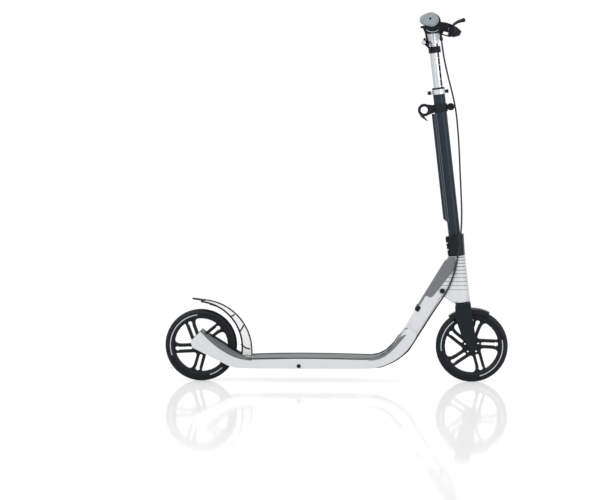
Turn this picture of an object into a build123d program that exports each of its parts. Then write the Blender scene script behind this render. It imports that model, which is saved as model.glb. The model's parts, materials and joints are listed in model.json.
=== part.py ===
from build123d import *
import os
from math import acos, asin, cos, degrees, radians, sin, sqrt, tan

os.makedirs("parts", exist_ok=True)

# A folding kick scooter with two large wheels.
# Millimetres. +X is forward, +Y is the rider's left, +Z is up.
# The origin is on the ground, midway between the two axles.

# ---------------------------------------------------------------- driving sizes

# stance
wheelbase = 771.6
wheel_diameter = 205
head_tilt = 6.55            # how far the steering axis leans back, degrees
fork_length = 261.8         # axle to the top of the head, along the steering axis
fork_offset = 14.1          # axle ahead of the steering axis

# fits
running_fit = 0.05
seat_gap = 0.3

# wheels
tyre_width = 30
tyre_depth = 14.5
tyre_shoulder = 8
rim_ring_depth = 12
rim_ring_width = 24
spoke_count = 5
spoke_width = 26
spoke_slot_width = 8
slot_end_radius = 5.2
spoke_thickness = 15
hub_radius = 19
hub_width = 24
window_corner = 10
front_spoke_turn = 4.5
rear_spoke_turn = 46
bearing_outer_radius = 11
bearing_bore_radius = 4.05
bearing_width = 7
axle_radius = 4
spacer_radius = 6.4
axle_head_radius = 7
axle_head_height = 4

# deck
deck_top = 67
deck_crown = 71.5           # height of the shallow hump of the deck
deck_bottom = 42.5
deck_width = 128
deck_edge_round = 3
rail_wall = 8
rib_wall = 3
top_plate = 8.5
channel_width = 48
pocket_length = 62
pocket_pitch = 68
pocket_count = 4
pocket_end = 57             # front end of the pockets
rear_slot_half = 20.5
slot_front = 109.8          # front of the wheel slot, ahead of the rear axle
rear_arm_half = 38
grip_mat_thickness = 1.6
grip_mat_inset = 3

# fold
fold_x = 215.5
fold_z = 119.5
fold_angle = 83.4
front_slope = 57.8          # slope of the front of the deck and of the neck
front_edge = 4.2            # front face of neck and deck, ahead of the fold pivot
front_curve = 150
cheek_gap_half = 22.5
cheek_half = 33
fold_bolt_radius = 4
knuckle_radius = 10
knuckle_half = 14
bolt_room = 16
stop_pin_radius = 3

# neck
neck_half = 22
neck_round = 5
neck_rear_low = 35.6        # rear edge of the neck behind the fold pivot, at its foot
neck_rear_high = 41.5       # and where it reaches the head
heel_setback = 8.3
head_length = fork_length - wheel_diameter / 2 - 26.3
head_radius = 24
head_bore = 17
headset_depth = 8
headset_radius = 20.9
neck_toe = 150              # where the neck's lower front face ends
neck_drop = 13.8            # the neck's rear edge meets the head this far below its top
cover_thickness = 1.6
cover_side = 21
cover_strip = 3
cover_step = 139            # where the deep part of the shell starts, along the neck
buffer_low = 78             # where the buffer sits, along the neck
buffer_high = 94

# fork and column
steerer_radius = 14.3
steerer_wall = 2.4
steerer_top = 54
crown_top = -head_length - 3
fork_gap_half = 19.5
fork_leg_thickness = 8
fork_lug_radius = 14
mudguard_gap = 1.3
mudguard_thickness = 4.8
mudguard_half = 18.5
stem_radius = 17
stem_bore = 14.4
stem_top = 473
fairing_reach = 26.6
fairing_half = 13.5
fairing_low = 96.6
fairing_high = stem_top - 66.4
clamp_wall = 5
clamp_height = 56.5
clamp_bolt_radius = 2.6
bar_tube_radius = 13
bar_tube_wall = 1.6
bar_tube_low = stem_top - 145
lid_height = 4.6

# height collar, hook and T-bar
collar_low = stem_top - 13
collar_height = 14
collar_wall = 2.4
hook_low = stem_top - 63.5
hook_height = 22.5
ring_hole = 10
ring_outer = 18
ring_back = 46.3
ring_up = hook_low + 10.5
hook_half = 5
bar_up = stem_top + 193
bar_forward = 5
bar_radius = 11.1
bar_wall = 2
bar_half = 237
bar_sweep = 9
bar_drop = -8               # below level is positive: the ends rise a little
bar_straight = 35
bar_clamp_radius = 22.5
bar_clamp_half = 21
grip_radius = 16.5
grip_length = 122
grip_flange = 17.8

# brake
lever_station = bar_half - grip_length - 17   # brake bracket's place along the bar
brake_pitch = 33            # how far the brake lever points below level, degrees
lever_reach = 60
cable_top_y = -lever_station + 24
cable_radius = 2.5
cable_gap = 0.3
fender_skin = 2.6
fender_half = 20
fender_pin_radius = 3
fender_pivot_forward = 131.8
fender_pivot_up = 75

# kickstand
stand_x = -105
stand_z = 50
stand_bolt_radius = 3
stand_y = -41
stand_length = 36

# ---------------------------------------------------------------- places worked out from them

wheel_radius = wheel_diameter / 2
axle_z = wheel_radius
front_x = wheelbase / 2
rear_x = -wheelbase / 2
rim_radius = wheel_radius - tyre_depth

tilt = radians(head_tilt)
stem = Plane(
    origin=(
        front_x - fork_offset * cos(tilt) - fork_length * sin(tilt),
        0,
        axle_z - fork_offset * sin(tilt) + fork_length * cos(tilt),
    ),
    x_dir=(cos(tilt), 0, sin(tilt)),
    z_dir=(-sin(tilt), 0, cos(tilt)),
)

slope = radians(front_slope)
neck_reach = (stem.origin.Z - neck_drop - fold_z - neck_rear_high * cos(slope)) / sin(slope)
collar_foot = bar_up - 89
cable_line = front_edge + cable_radius + cable_gap


def neck_point(along, ahead):
    """A point in the side view: along the neck from the fold pivot, and ahead of its pivot line."""
    x = fold_x + along * cos(slope) + ahead * sin(slope)
    z = fold_z + along * sin(slope) - ahead * cos(slope)
    return (x, z)


def stem_point(forward, up):
    """A side-view point given in the steering column's own frame."""
    place = stem.from_local_coords((forward, 0, up))
    return (place.X, place.Z)


def sloped_at(height, ahead):
    """Where the sloped front line, moved ahead by a distance, crosses a height."""
    along = (height - fold_z + ahead * cos(slope)) / sin(slope)
    return neck_point(along, ahead)


# ---------------------------------------------------------------- helpers


def outline(points, radii):
    """A closed flat shape, each corner rounded by its own radius."""
    return make_face(FilletPolyline(*points, radius=radii, close=True))


def slab(face, low, high):
    """A side-view shape given thickness from one Y to another."""
    return Pos(0, high, 0) * extrude(Plane.XZ * face, amount=high - low)


def twin_slabs(face, inner, outer):
    """The same slab on the right and on the left."""
    return slab(face, -outer, -inner) + slab(face, inner, outer)


def disc(x, z, radius):
    return Pos(x, z) * Circle(radius)


def rod(x, z, radius, low, high):
    """A cylinder along Y."""
    return slab(disc(x, z, radius), low, high)


def block(x_low, x_high, y_low, y_high, z_low, z_high):
    """A box from its lowest to its highest corner."""
    size = (x_high - x_low, y_high - y_low, z_high - z_low)
    middle = ((x_low + x_high) / 2, (y_low + y_high) / 2, (z_low + z_high) / 2)
    return Pos(*middle) * Box(*size)


def upright(radius, low, high, x=0, y=0):
    """A cylinder along the local Z axis."""
    return Pos(x, y, (low + high) / 2) * Cylinder(radius, high - low)


def sleeve(inner, outer, low, high):
    """A tube along the local Z axis."""
    return upright(outer, low, high) - upright(inner, low - 1, high + 1)


def on_stem(part):
    return stem.location * part


def along_route(points, section_radius):
    """A round bar along straight runs, joined by the widest bends that fit the runs."""
    places = [Vector(*p) for p in points]
    radii = []
    for before, here, after in zip(places, places[1:], places[2:]):
        turn = radians((here - before).get_angle(after - here))
        shorter = min((here - before).length, (after - here).length)
        radii.append(0.45 * shorter / tan(turn / 2))
    path = FilletPolyline(*places, radius=radii)
    section = Plane(origin=path @ 0, z_dir=path % 0) * Circle(section_radius)
    return sweep(section, path=path), path.length, min(radii)


def cord(points):
    """A length of the brake cable. It prints how long it is and how tightly it bends."""
    body, length, bend = along_route(points, cable_radius)
    print("cable:", round(length), "mm long, tightest bend", round(bend), "mm")
    return body


def middle_of(a, b):
    return tuple((p + q) / 2 for p, q in zip(a, b))


# ---------------------------------------------------------------- wheels


def tyre(x):
    profile = Rectangle(tyre_width, tyre_depth, align=(Align.CENTER, Align.MIN))
    profile = Pos(0, rim_radius) * profile
    shoulders = profile.vertices().group_by(Axis.Y)[-1]
    profile = fillet(shoulders, tyre_shoulder)
    ring = revolve(Plane.YZ * profile, Axis.Y)
    return Pos(x, 0, axle_z) * ring


def rim(x, turn):
    ring_inner = rim_radius - rim_ring_depth
    ring = Circle(rim_radius) - Circle(ring_inner)
    spokes = Sketch() + [Rot(0, 0, 360 / spoke_count * n) * Pos(ring_inner / 2, 0)
                         * Rectangle(ring_inner + 4, spoke_width) for n in range(spoke_count)]
    slot_length = ring_inner - hub_radius - 12
    slot_start = hub_radius + 9
    bone = Pos(slot_start + slot_length / 2, 0) * SlotOverall(slot_length, spoke_slot_width)
    bone += Pos(slot_start + slot_length - slot_end_radius, 0) * Circle(slot_end_radius)
    bone += Pos(hub_radius + 4.2, 0) * SlotOverall(6, 3.6)
    slots = Sketch() + [Rot(0, 0, 360 / spoke_count * n) * bone for n in range(spoke_count)]
    windows = Circle(ring_inner) - Circle(hub_radius + 4) - spokes
    windows = offset(offset(windows, -window_corner, kind=Kind.INTERSECTION), window_corner)
    web = Circle(rim_radius - 2) - Circle(bearing_outer_radius) - windows - slots
    wheel = extrude(web, amount=spoke_thickness / 2, both=True)
    wheel += extrude(ring, amount=rim_ring_width / 2, both=True)
    wheel += extrude(Circle(hub_radius), amount=hub_width / 2, both=True)
    seat_depth = bearing_width + 0.5
    wheel -= Cylinder(bearing_outer_radius - 1.5, hub_width + 2)
    for side in (-1, 1):
        wheel -= Pos(0, 0, side * (hub_width - seat_depth) / 2) * Cylinder(
            bearing_outer_radius, seat_depth + 0.001)
    upright_wheel = Rot(90, 0, 0) * Rot(0, 0, turn) * wheel
    return Pos(x, 0, axle_z) * upright_wheel


def bearing_pair(x):
    """Two shielded ball bearings, one in each end of the hub."""
    inner_shield = bearing_bore_radius + 1.9
    outer_shield = bearing_outer_radius - 1.6
    race = sleeve(bearing_bore_radius, bearing_outer_radius, -bearing_width / 2, bearing_width / 2)
    for side in (-1, 1):
        face = side * bearing_width / 2
        race -= Pos(0, 0, face) * (Cylinder(outer_shield, 0.8) - Cylinder(inner_shield, 0.8))
    middle = (hub_width - bearing_width) / 2 - 0.25
    pair = [Pos(x, y, axle_z) * Rot(90, 0, 0) * race for y in (-middle, middle)]
    return Compound(children=pair)


def spacer_set(x, gap_half):
    """The sleeve between the bearings and a collar outside each, all slipped on the axle."""
    inner_end = hub_width / 2 - 0.25 - bearing_width - seat_gap
    outer_start = hub_width / 2 - 0.25 + seat_gap
    spans = ((-inner_end, inner_end), (outer_start, gap_half), (-gap_half, -outer_start))
    sleeves = []
    for low, high in spans:
        ring = disc(x, axle_z, spacer_radius) - disc(x, axle_z, bearing_bore_radius)
        sleeves.append(slab(ring, low, high))
    return Compound(children=sleeves)


# ---------------------------------------------------------------- deck


def deck_outline():
    """The deck, its rear arms and its front cheeks, in the side view."""
    arm_end = (rear_x - 28, axle_z + 13.5)
    arm_toe = (rear_x - 23, axle_z - 4)
    arm_top = (rear_x + 0.5, axle_z + 42.5)
    points = [
        arm_toe,
        (rear_x + 90.4, deck_bottom),
        sloped_at(deck_bottom, front_edge),
        neck_point(26, front_edge),
        neck_point(24, -34),
        (fold_x - 77.5, deck_top),
        (stand_x + 5, deck_crown),
        (rear_x + 103.6, deck_top - 1),
        arm_top,
        arm_end,
    ]
    radii = [6, 80, front_curve, 12, 12, 85, 3000, 110, 4, 5]
    return points, radii


def deck_plan(inset=0):
    """The deck seen from above: full width in the middle, drawn in to the arms and cheeks."""
    half = deck_width / 2 - inset
    arm = rear_arm_half - inset
    cheek = cheek_half - inset
    side = [
        (rear_x - 40, arm),
        (rear_x + 70, arm + 6),
        (rear_x + 165, half),
        (fold_x - 150, half),
        (fold_x - 62, cheek + 6),
        (fold_x + 60, cheek),
    ]
    points = side + [(x, -y) for x, y in reversed(side)]
    corner = [0, 200, 160, 160, 120, 0]
    return outline(points, corner + corner[::-1])


def deck_pockets():
    """The hollow underside: a long middle channel and two rows of side pockets."""
    ceiling = deck_top - top_plate
    start = pocket_end - pocket_pitch * (pocket_count - 1) - pocket_length
    low = deck_bottom - 5
    half = channel_width / 2
    hollow = block(start, pocket_end, -half, half, low, ceiling)
    inner = half + rib_wall
    outer = deck_width / 2 - rail_wall
    for n in range(pocket_count):
        x = start + n * pocket_pitch
        for side in (-1, 1):
            pocket = Pos(x + pocket_length / 2, side * (inner + outer) / 2, (low + ceiling) / 2) * Box(
                pocket_length, outer - inner, ceiling - low)
            hollow += fillet(pocket.edges().filter_by(Axis.Z), 6)
    return hollow


def cable_groove():
    """The groove by which the cable sinks from under the front curve into the middle channel."""
    return block(pocket_end - 2, fold_x - 90, -18.5 - 3.4, -18.5 + 3.4, deck_bottom - 5, deck_bottom + 9)


def folded_neck(room):
    """The space that the folded neck takes behind the pivot, with some room below it."""
    upright_neck = outline([
        neck_point(-heel_setback, -neck_rear_low - room),
        neck_point(150, -neck_rear_high - room),
        neck_point(150, 0),
        neck_point(-heel_setback, 0),
    ], [0] * 4)
    return Pos(fold_x, fold_z) * Rot(0, 0, fold_angle) * Pos(-fold_x, -fold_z) * upright_neck


def deck_frame():
    points, radii = deck_outline()
    side = slab(outline(points, radii), -deck_width / 2, deck_width / 2)
    plan = extrude(deck_plan(), amount=400)
    frame = side & plan
    slot_end = rear_x + slot_front
    wheel_slot = block(rear_x - 60, slot_end, -rear_slot_half, rear_slot_half, 0, 300)
    wheel_slot = fillet(wheel_slot.edges().filter_by(Axis.Z).sort_by(Axis.X)[-2:], 8)
    frame -= wheel_slot
    sweep_radius = sqrt(neck_rear_low ** 2 + heel_setback ** 2) + 2
    frame -= rod(fold_x, fold_z, sweep_radius, -cheek_gap_half, cheek_gap_half)
    above = outline([
        neck_point(-heel_setback, -cheek_half),
        neck_point(-heel_setback, 30),
        neck_point(90, 30),
        neck_point(90, -90),
        neck_point(10, -90),
    ], [0] * 5)
    frame -= slab(above, -cheek_gap_half, cheek_gap_half)
    frame -= slab(folded_neck(1), -cheek_gap_half, cheek_gap_half)
    frame -= deck_pockets()
    frame -= cable_groove()
    for lug in (-1, 1):
        post = disc(rear_x + fender_pivot_forward, fender_pivot_up, 7) + Pos(
            rear_x + fender_pivot_forward, fender_pivot_up - 9) * Rectangle(14, 18)
        frame += slab(post, lug * 14.5 - 2.5, lug * 14.5 + 2.5)
    frame -= rod(rear_x + fender_pivot_forward, fender_pivot_up, fender_pin_radius, -18, 18)
    frame -= block(rear_x + fender_pivot_forward - 11, rear_x + fender_pivot_forward + 13,
                   -7, 7, 0, deck_top + 10)
    frame -= block(rear_x + fender_pivot_forward, 0, -3.4, 3.4, deck_bottom - 5, deck_bottom + 9)
    frame -= rod(rear_x, axle_z, axle_radius, -rear_slot_half - 12, 80)
    frame -= rod(rear_x, axle_z, axle_head_radius + 0.2, rear_arm_half - 1, 80)
    frame -= rod(fold_x, fold_z, fold_bolt_radius, -cheek_gap_half - 7, 50)
    frame -= rod(fold_x, fold_z, axle_head_radius + 0.2, cheek_half - axle_head_height, 60)
    frame -= rod(stand_x, stand_z, stand_bolt_radius, -90, -channel_width / 2 - 0.5)
    frame -= block(stand_x - 9, stand_x + stand_length + 13, stand_y - 9, stand_y + 9,
                   deck_bottom - 5, deck_top - top_plate)
    return frame


def grip_mat():
    """The thin non-slip mat that covers the deck from the rear arms to the cheeks."""
    points, radii = deck_outline()
    lower = slab(outline(points, radii), -80, 80)
    raised = Pos(0, 0, grip_mat_thickness) * lower
    skin = (raised - lower) & extrude(deck_plan(grip_mat_inset), amount=400)
    slot_end = rear_x + slot_front + grip_mat_inset
    skin -= block(rear_x - 60, slot_end, -rear_slot_half - 2, rear_slot_half + 2, 0, 300)
    foot = rear_x + fender_pivot_forward
    skin -= block(foot - 30, foot + 16, -rear_slot_half - 2, rear_slot_half + 2, 0, 300)
    sweep_radius = sqrt(neck_rear_low ** 2 + heel_setback ** 2) + 4
    skin -= rod(fold_x, fold_z, sweep_radius, -cheek_gap_half - 2, cheek_gap_half + 2)
    skin -= block(neck_point(-20, -30)[0], 400, -cheek_gap_half - 2, cheek_gap_half + 2, 0, 400)
    skin -= slab(folded_neck(2), -cheek_gap_half - 2, cheek_gap_half + 2)
    skin -= block(neck_point(2, 0)[0] - 14, 400, -80, 80, 0, 400)
    skin -= block(-600, rear_x + 2, -80, 80, 0, 400)
    return max(skin.solids(), key=lambda s: s.volume)


def rear_axle():
    bolt = rod(rear_x, axle_z, axle_radius, -rear_slot_half - 12, rear_arm_half)
    head = rod(rear_x, axle_z, axle_head_radius, rear_arm_half - 1, rear_arm_half - 1 + axle_head_height)
    return bolt + head - hex_socket(rear_x, axle_z, rear_arm_half - 1 + axle_head_height)


def hex_socket(x, z, face):
    """A six-sided key socket that opens towards +Y at a face."""
    return slab(Pos(x, z) * RegularPolygon(3, 6), face - 2.5, face + 1)


def fold_bolt():
    bolt = rod(fold_x, fold_z, fold_bolt_radius, -cheek_gap_half - 7, cheek_half - axle_head_height)
    head = rod(fold_x, fold_z, axle_head_radius, cheek_half - axle_head_height, cheek_half - 0.5)
    return bolt + head - hex_socket(fold_x, fold_z, cheek_half - 0.5)


def kickstand_bolt():
    half = deck_width / 2
    bolt = rod(stand_x, stand_z, stand_bolt_radius, -half, -channel_width / 2 - 0.5)
    return bolt + rod(stand_x, stand_z, 5.6, -half - 1.8, -half)


def kickstand():
    """A short leg that lies forward inside the hollow deck and swings down."""
    eye = disc(stand_x, stand_z, 6)
    shank = Pos(stand_x + stand_length / 2, stand_z) * Rectangle(stand_length, 9)
    leg = slab(eye + shank, stand_y - 5, stand_y + 5)
    return leg - rod(stand_x, stand_z, stand_bolt_radius + running_fit, -80, 0)


def kickstand_foot():
    toe = Pos(stand_x + stand_length + 4, stand_z) * Rectangle(8, 10.5)
    return slab(fillet(toe.vertices(), 2.5), stand_y - 6.5, stand_y + 6.5)


# ---------------------------------------------------------------- fender

fender_x = rear_x - 2.3     # centre of the fender's outer curve
fender_z = axle_z - 17.6
fender_radius = 145.5
fender_inner_x = rear_x - 11.7
fender_inner_z = axle_z - 3.8
fender_inner_radius = 128
fender_foot = 76
foot_x = rear_x + fender_pivot_forward


def fender_side():
    """The side view: a crescent from the foot on the deck to the tail over the wheel."""
    crescent = disc(fender_x, fender_z, fender_radius) - disc(
        fender_inner_x, fender_inner_z, fender_inner_radius)
    keep = Pos(rear_x + 150, fender_foot + 150) * Rectangle(300, 300)
    return crescent & keep


def fender():
    side = fender_side()
    body = slab(side, -fender_half, fender_half)
    inside = disc(fender_x, fender_z, fender_radius - fender_skin)
    body -= slab(inside, -fender_half + fender_skin, fender_half - fender_skin)
    knuckle = disc(foot_x, fender_pivot_up, 6.5)
    web = outline([
        (foot_x - 6, fender_pivot_up),
        (foot_x + 6, fender_pivot_up),
        (foot_x + 9, fender_pivot_up + 26),
        (foot_x - 2, fender_pivot_up + 26),
    ], [0, 0, 0, 0])
    arm = outline([
        (foot_x - 3.5, fender_pivot_up),
        (foot_x - 3.5, stand_z - 4),
        (foot_x + 3.5, stand_z - 4),
        (foot_x + 3.5, fender_pivot_up),
    ], [0, 3, 3, 0])
    body += slab(knuckle + web, -11.5, 11.5) & slab(
        disc(fender_x, fender_z, fender_radius - 1), -12, 12)
    body += slab(arm, -3, 3)
    body -= rod(foot_x, fender_pivot_up, fender_pin_radius + running_fit, -30, 30)
    return body


def fender_catch():
    """The forked tail that the carry hook snaps into when the scooter is folded."""
    tail_x = rear_x - 2
    prong = outline([
        (tail_x + 14, axle_z + 126),
        (tail_x - 22.5, axle_z + 131.5),
        (tail_x - 23.5, axle_z + 134),
        (tail_x + 14, axle_z + 129.5),
    ], [0, 1, 1, 0])
    slot = block(rear_x - 60, rear_x - 3, -6, 6, axle_z + 100, axle_z + 160)
    return slab(prong, -14, 14) - slot - slab(fender_side(), -fender_half, fender_half)


def brake_pad():
    pad = disc(rear_x, axle_z, 138) - disc(rear_x, axle_z, wheel_radius + 15.5)
    wedge = outline([
        (rear_x, axle_z),
        (rear_x + 150 * cos(radians(50)), axle_z + 150 * sin(radians(50))),
        (rear_x + 150 * cos(radians(78)), axle_z + 150 * sin(radians(78))),
    ], [0, 0, 0])
    return slab((pad & wedge), -11, 11) & slab(
        disc(fender_x, fender_z, fender_radius - fender_skin), -30, 30)


def fender_pin():
    return rod(foot_x, fender_pivot_up, fender_pin_radius, -17.8, 17.8)


# ---------------------------------------------------------------- neck


def round_long_edges(body, half, radius):
    """Round the rearmost and foremost edge that runs along the neck, on each flat side in turn."""
    along = Vector(cos(slope), 0, sin(slope))
    for side in (-half, half):
        for pick in (0, -1):
            edges = body.edges().filter_by(lambda e: e.length > half and abs((e % 0.5).dot(along)) > 0.995)
            edges = edges.filter_by(lambda e: abs(e.center().Y - side) < 0.01)
            body = body.fillet(radius, [edges.sort_by(Axis.X)[pick]])
    return body


def neck_frame():
    beam_low = neck_point(-heel_setback, -neck_rear_low)
    beam = outline([
        beam_low,
        neck_point(-4, -6),
        neck_point(0, front_edge),
        neck_point(neck_toe, front_edge),
        neck_point(neck_toe + 4, front_edge + 10),
        stem_point(-26, -head_length),
        stem_point(0, -head_length),
        stem_point(0, -0.5),
        stem_point(-24, -0.5),
        neck_point(neck_reach, -neck_rear_high),
    ], [neck_round + 3, 0, 0, neck_round + 4, neck_round + 4, neck_round + 5, 0, 0, neck_round + 3,
        neck_round + 4])
    body = slab(beam, -neck_half, neck_half)
    body = round_long_edges(body, neck_half, neck_round)
    body += on_stem(upright(head_radius, -head_length, -0.5))
    body += rod(fold_x, fold_z, knuckle_radius, -knuckle_half, knuckle_half)
    for side in (-1, 1):
        middle = side * (knuckle_half + 10)
        body -= rod(fold_x, fold_z, bolt_room, middle - 10, middle + 10)
    body -= rod(fold_x, fold_z, fold_bolt_radius + 1.5, -30, 30)
    body -= on_stem(upright(head_bore, -200, 40))
    body -= on_stem(upright(headset_radius, -head_length - 10, -head_length + headset_depth))
    body -= on_stem(upright(headset_radius, -0.5 - headset_depth, 10))
    body -= rod(*button_place(), 5.2, -30, -2)
    body -= rod(*button_place(), 7.3, -30, -neck_half + 4.2)
    return body


def headset_bearings():
    low = sleeve(steerer_radius + running_fit, headset_radius - 0.05,
                 -head_length, -head_length + headset_depth - 0.2)
    high = sleeve(steerer_radius + running_fit, headset_radius - 0.05,
                  -headset_depth - 0.3, -0.5)
    return Compound(children=[on_stem(low), on_stem(high)])


def fold_bushes():
    """The two flanged bushes that the neck turns on."""
    pair = []
    for side in (-1, 1):
        inner = side * 1
        outer = side * (knuckle_half + 1.5)
        ring = disc(fold_x, fold_z, fold_bolt_radius + 1.45) - disc(
            fold_x, fold_z, fold_bolt_radius + running_fit)
        flange = disc(fold_x, fold_z, knuckle_radius - 1) - disc(
            fold_x, fold_z, fold_bolt_radius + running_fit)
        body = slab(ring, min(inner, outer), max(inner, outer))
        face = side * knuckle_half
        body += slab(flange, min(face, outer), max(face, outer))
        pair.append(body)
    return Compound(children=pair)


def neck_cover():
    """The grey shell over the rear edge of the neck: deep beside the head, a strip lower down."""
    rear = -neck_rear_high
    lower = -neck_rear_low - (neck_rear_high - neck_rear_low) * 0.5
    side = outline([
        neck_point(buffer_high + 1, lower - 0.4),
        neck_point(buffer_high + 1, lower + cover_strip),
        neck_point(cover_step - 10, lower + cover_strip - 1),
        neck_point(cover_step - 7, lower + cover_side - 4),
        neck_point(cover_step, lower + cover_side),
        stem_point(-8, -34),
        stem_point(-2, -2),
        stem_point(-23, -2),
        neck_point(neck_reach, rear),
    ], [0, 2, 3, 3, 3, 20, 0, 5, 9])
    shell = slab(side, -neck_half - cover_thickness, neck_half + cover_thickness)
    shell += slab(side, -neck_half, neck_half)
    return shell - neck_solid_plug()


def neck_buffer():
    """A rubber saddle on the neck's rear edge, just below the grey shell."""
    side = outline([
        neck_point(buffer_low, -neck_rear_high + 1),
        neck_point(buffer_low, -neck_rear_high + 13),
        neck_point(buffer_high, -neck_rear_high + 13),
        neck_point(buffer_high, -neck_rear_high + 1),
    ], [2, 2, 2, 2])
    return slab(side, -neck_half - 1.2, neck_half + 1.2) - neck_solid_plug()


def neck_solid_plug():
    """The neck's beam and head without any of its holes, for fitting things over it."""
    return neck_frame() + on_stem(upright(head_radius + 0.05, -head_length, 5))


def button_place():
    return neck_point(165.2, -2.8)


def fold_button():
    x, z = button_place()
    cap = rod(x, z, 7, -neck_half - 4.5, -neck_half + 0.5)
    stem_pin = rod(x, z, 5.1, -neck_half, -neck_half + 11)
    return cap + stem_pin


# ---------------------------------------------------------------- fork and column


def fork():
    legs = outline([
        (-18, crown_top),
        (-21, crown_top - 14),
        (-22, crown_top - 47),
        (-12, -fork_length + 34),
        (fork_offset - fork_lug_radius, -fork_length + 4),
        (fork_offset - fork_lug_radius, -fork_length - fork_lug_radius),
        (fork_offset + fork_lug_radius, -fork_length - fork_lug_radius),
        (fork_offset + fork_lug_radius, -fork_length + 8),
        (25, crown_top - 30),
        (24, crown_top),
    ], [0, 6, 40, 40, 20, 10, 10, 40, 0, 0])
    outer = fork_gap_half + fork_leg_thickness
    body = slab(legs, -outer, outer)
    tyre_room = wheel_radius + mudguard_gap + mudguard_thickness + 0.2
    gap = disc(fork_offset, -fork_length, tyre_room)
    body -= slab(gap, -fork_gap_half, fork_gap_half)
    sides = body.faces().filter_by(Axis.Y).sort_by(Axis.Y)
    body = fillet(sides[0].outer_wire().edges() + sides[-1].outer_wire().edges(), 2.5)
    body += upright(steerer_radius, crown_top - 4, steerer_top)
    body += upright(20, crown_top, crown_top + 2.6)
    body -= upright(steerer_radius - steerer_wall, crown_top + 6, steerer_top + 1)
    body -= rod(fork_offset, -fork_length, axle_radius, -60, 60)
    return on_stem(body)


def front_mudguard():
    inner = wheel_radius + mudguard_gap
    outer = inner + mudguard_thickness
    ring = disc(front_x, axle_z, outer) - disc(front_x, axle_z, inner)
    reach = 170
    wedge = outline([
        (front_x, axle_z),
        (front_x + reach * cos(radians(61.6)), axle_z + reach * sin(radians(61.6))),
        (front_x + 20, axle_z + reach * 1.2),
        (front_x + reach * cos(radians(126.8)), axle_z + reach * sin(radians(126.8))),
    ], [0, 0, 0, 0])
    return slab(ring & wedge, -mudguard_half, mudguard_half)


def front_axle():
    outer = fork_gap_half + fork_leg_thickness
    x, z = stem_point(fork_offset, -fork_length)
    bolt = rod(x, z, axle_radius, -outer - axle_head_height, outer + 1)
    bolt += rod(x, z, axle_head_radius, outer, outer + axle_head_height)
    return bolt - hex_socket(x, z, outer + axle_head_height)


def front_axle_nut():
    outer = fork_gap_half + fork_leg_thickness
    x, z = stem_point(fork_offset, -fork_length)
    ring = Pos(x, z) * RegularPolygon(7.2, 6) - disc(x, z, axle_radius)
    return slab(ring, -outer - axle_head_height + 0.5, -outer)


def stem_tube():
    tube = sleeve(stem_bore, stem_radius, 1.5, stem_top)
    slit = block(-30, 0, -1.5, 1.5, collar_low - 30, stem_top + 1)
    hole = Pos(stem_radius, 0, collar_low + 6) * Rot(0, 90, 0) * Cylinder(4.3, 12)
    return on_stem(tube - slit - hole)


def stem_fairing():
    reach = fairing_reach
    half = fairing_half
    section = Pos(-(reach + 8) / 2, 0) * Rectangle(reach - 8, 2 * half)
    section = fillet(section.vertices().sort_by(Axis.X)[:2], 7)
    bar = Pos(0, 0, fairing_low) * extrude(section, amount=fairing_high - fairing_low)
    bar -= upright(stem_radius, 0, fairing_high + 10)
    ramp = Pos(-reach, 0, fairing_low) * Rot(0, 45, 0) * Box(16, 60, 16)
    bar -= ramp
    for side in (-1, 1):
        for x in (-13.2, -18.6):
            bar -= Pos(x, side * half, (fairing_low + fairing_high) / 2) * Box(2, 1.6, 400)
    return on_stem(bar)


def head_clamp():
    outer = stem_radius + clamp_wall
    body = upright(outer, 0.3, clamp_height)
    ears = block(-32.5, -8, -9, 9, 0.3, clamp_height)
    ears = fillet(ears.edges().filter_by(Axis.Z).sort_by(Axis.X)[:2], 3)
    body += ears
    guide = upright(29, 0.3, clamp_height + 3.5)
    wedge = extrude(outline([(0, 0), (70, -8), (60, -60), (-14, -60)], [0, 0, 0, 0]), amount=90)
    body += guide & wedge
    body -= upright(stem_radius, -1, 80)
    body -= block(-40, -10, -1.5, 1.5, -1, 80)
    for level in (0.333, 0.667):
        body -= block(-40, -25, -20, 20, clamp_height * level - 1.8, clamp_height * level + 1.8)
    for level in clamp_levels():
        body -= Pos(-26.5, 0, level) * Rot(90, 0, 0) * Cylinder(clamp_bolt_radius, 60)
    channel, length, bend = along_route(cable_route()[9:17], cable_radius + 0.7)
    return on_stem(body) - channel


def clamp_levels():
    return [clamp_height * (n + 0.5) / 3 for n in range(3)]


def clamp_bolts():
    bolts = []
    for level in clamp_levels():
        shank = Pos(-26.5, 0, level) * Rot(90, 0, 0) * Cylinder(clamp_bolt_radius, 18)
        head = Pos(-26.5, -10.5, level) * Rot(90, 0, 0) * Cylinder(4.3, 3)
        key = Pos(-26.5, -12, level) * Rot(90, 0, 0) * extrude(RegularPolygon(2.2, 6), amount=2, both=True)
        bolts.append(on_stem(shank + head - key))
    return Compound(children=bolts)


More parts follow.
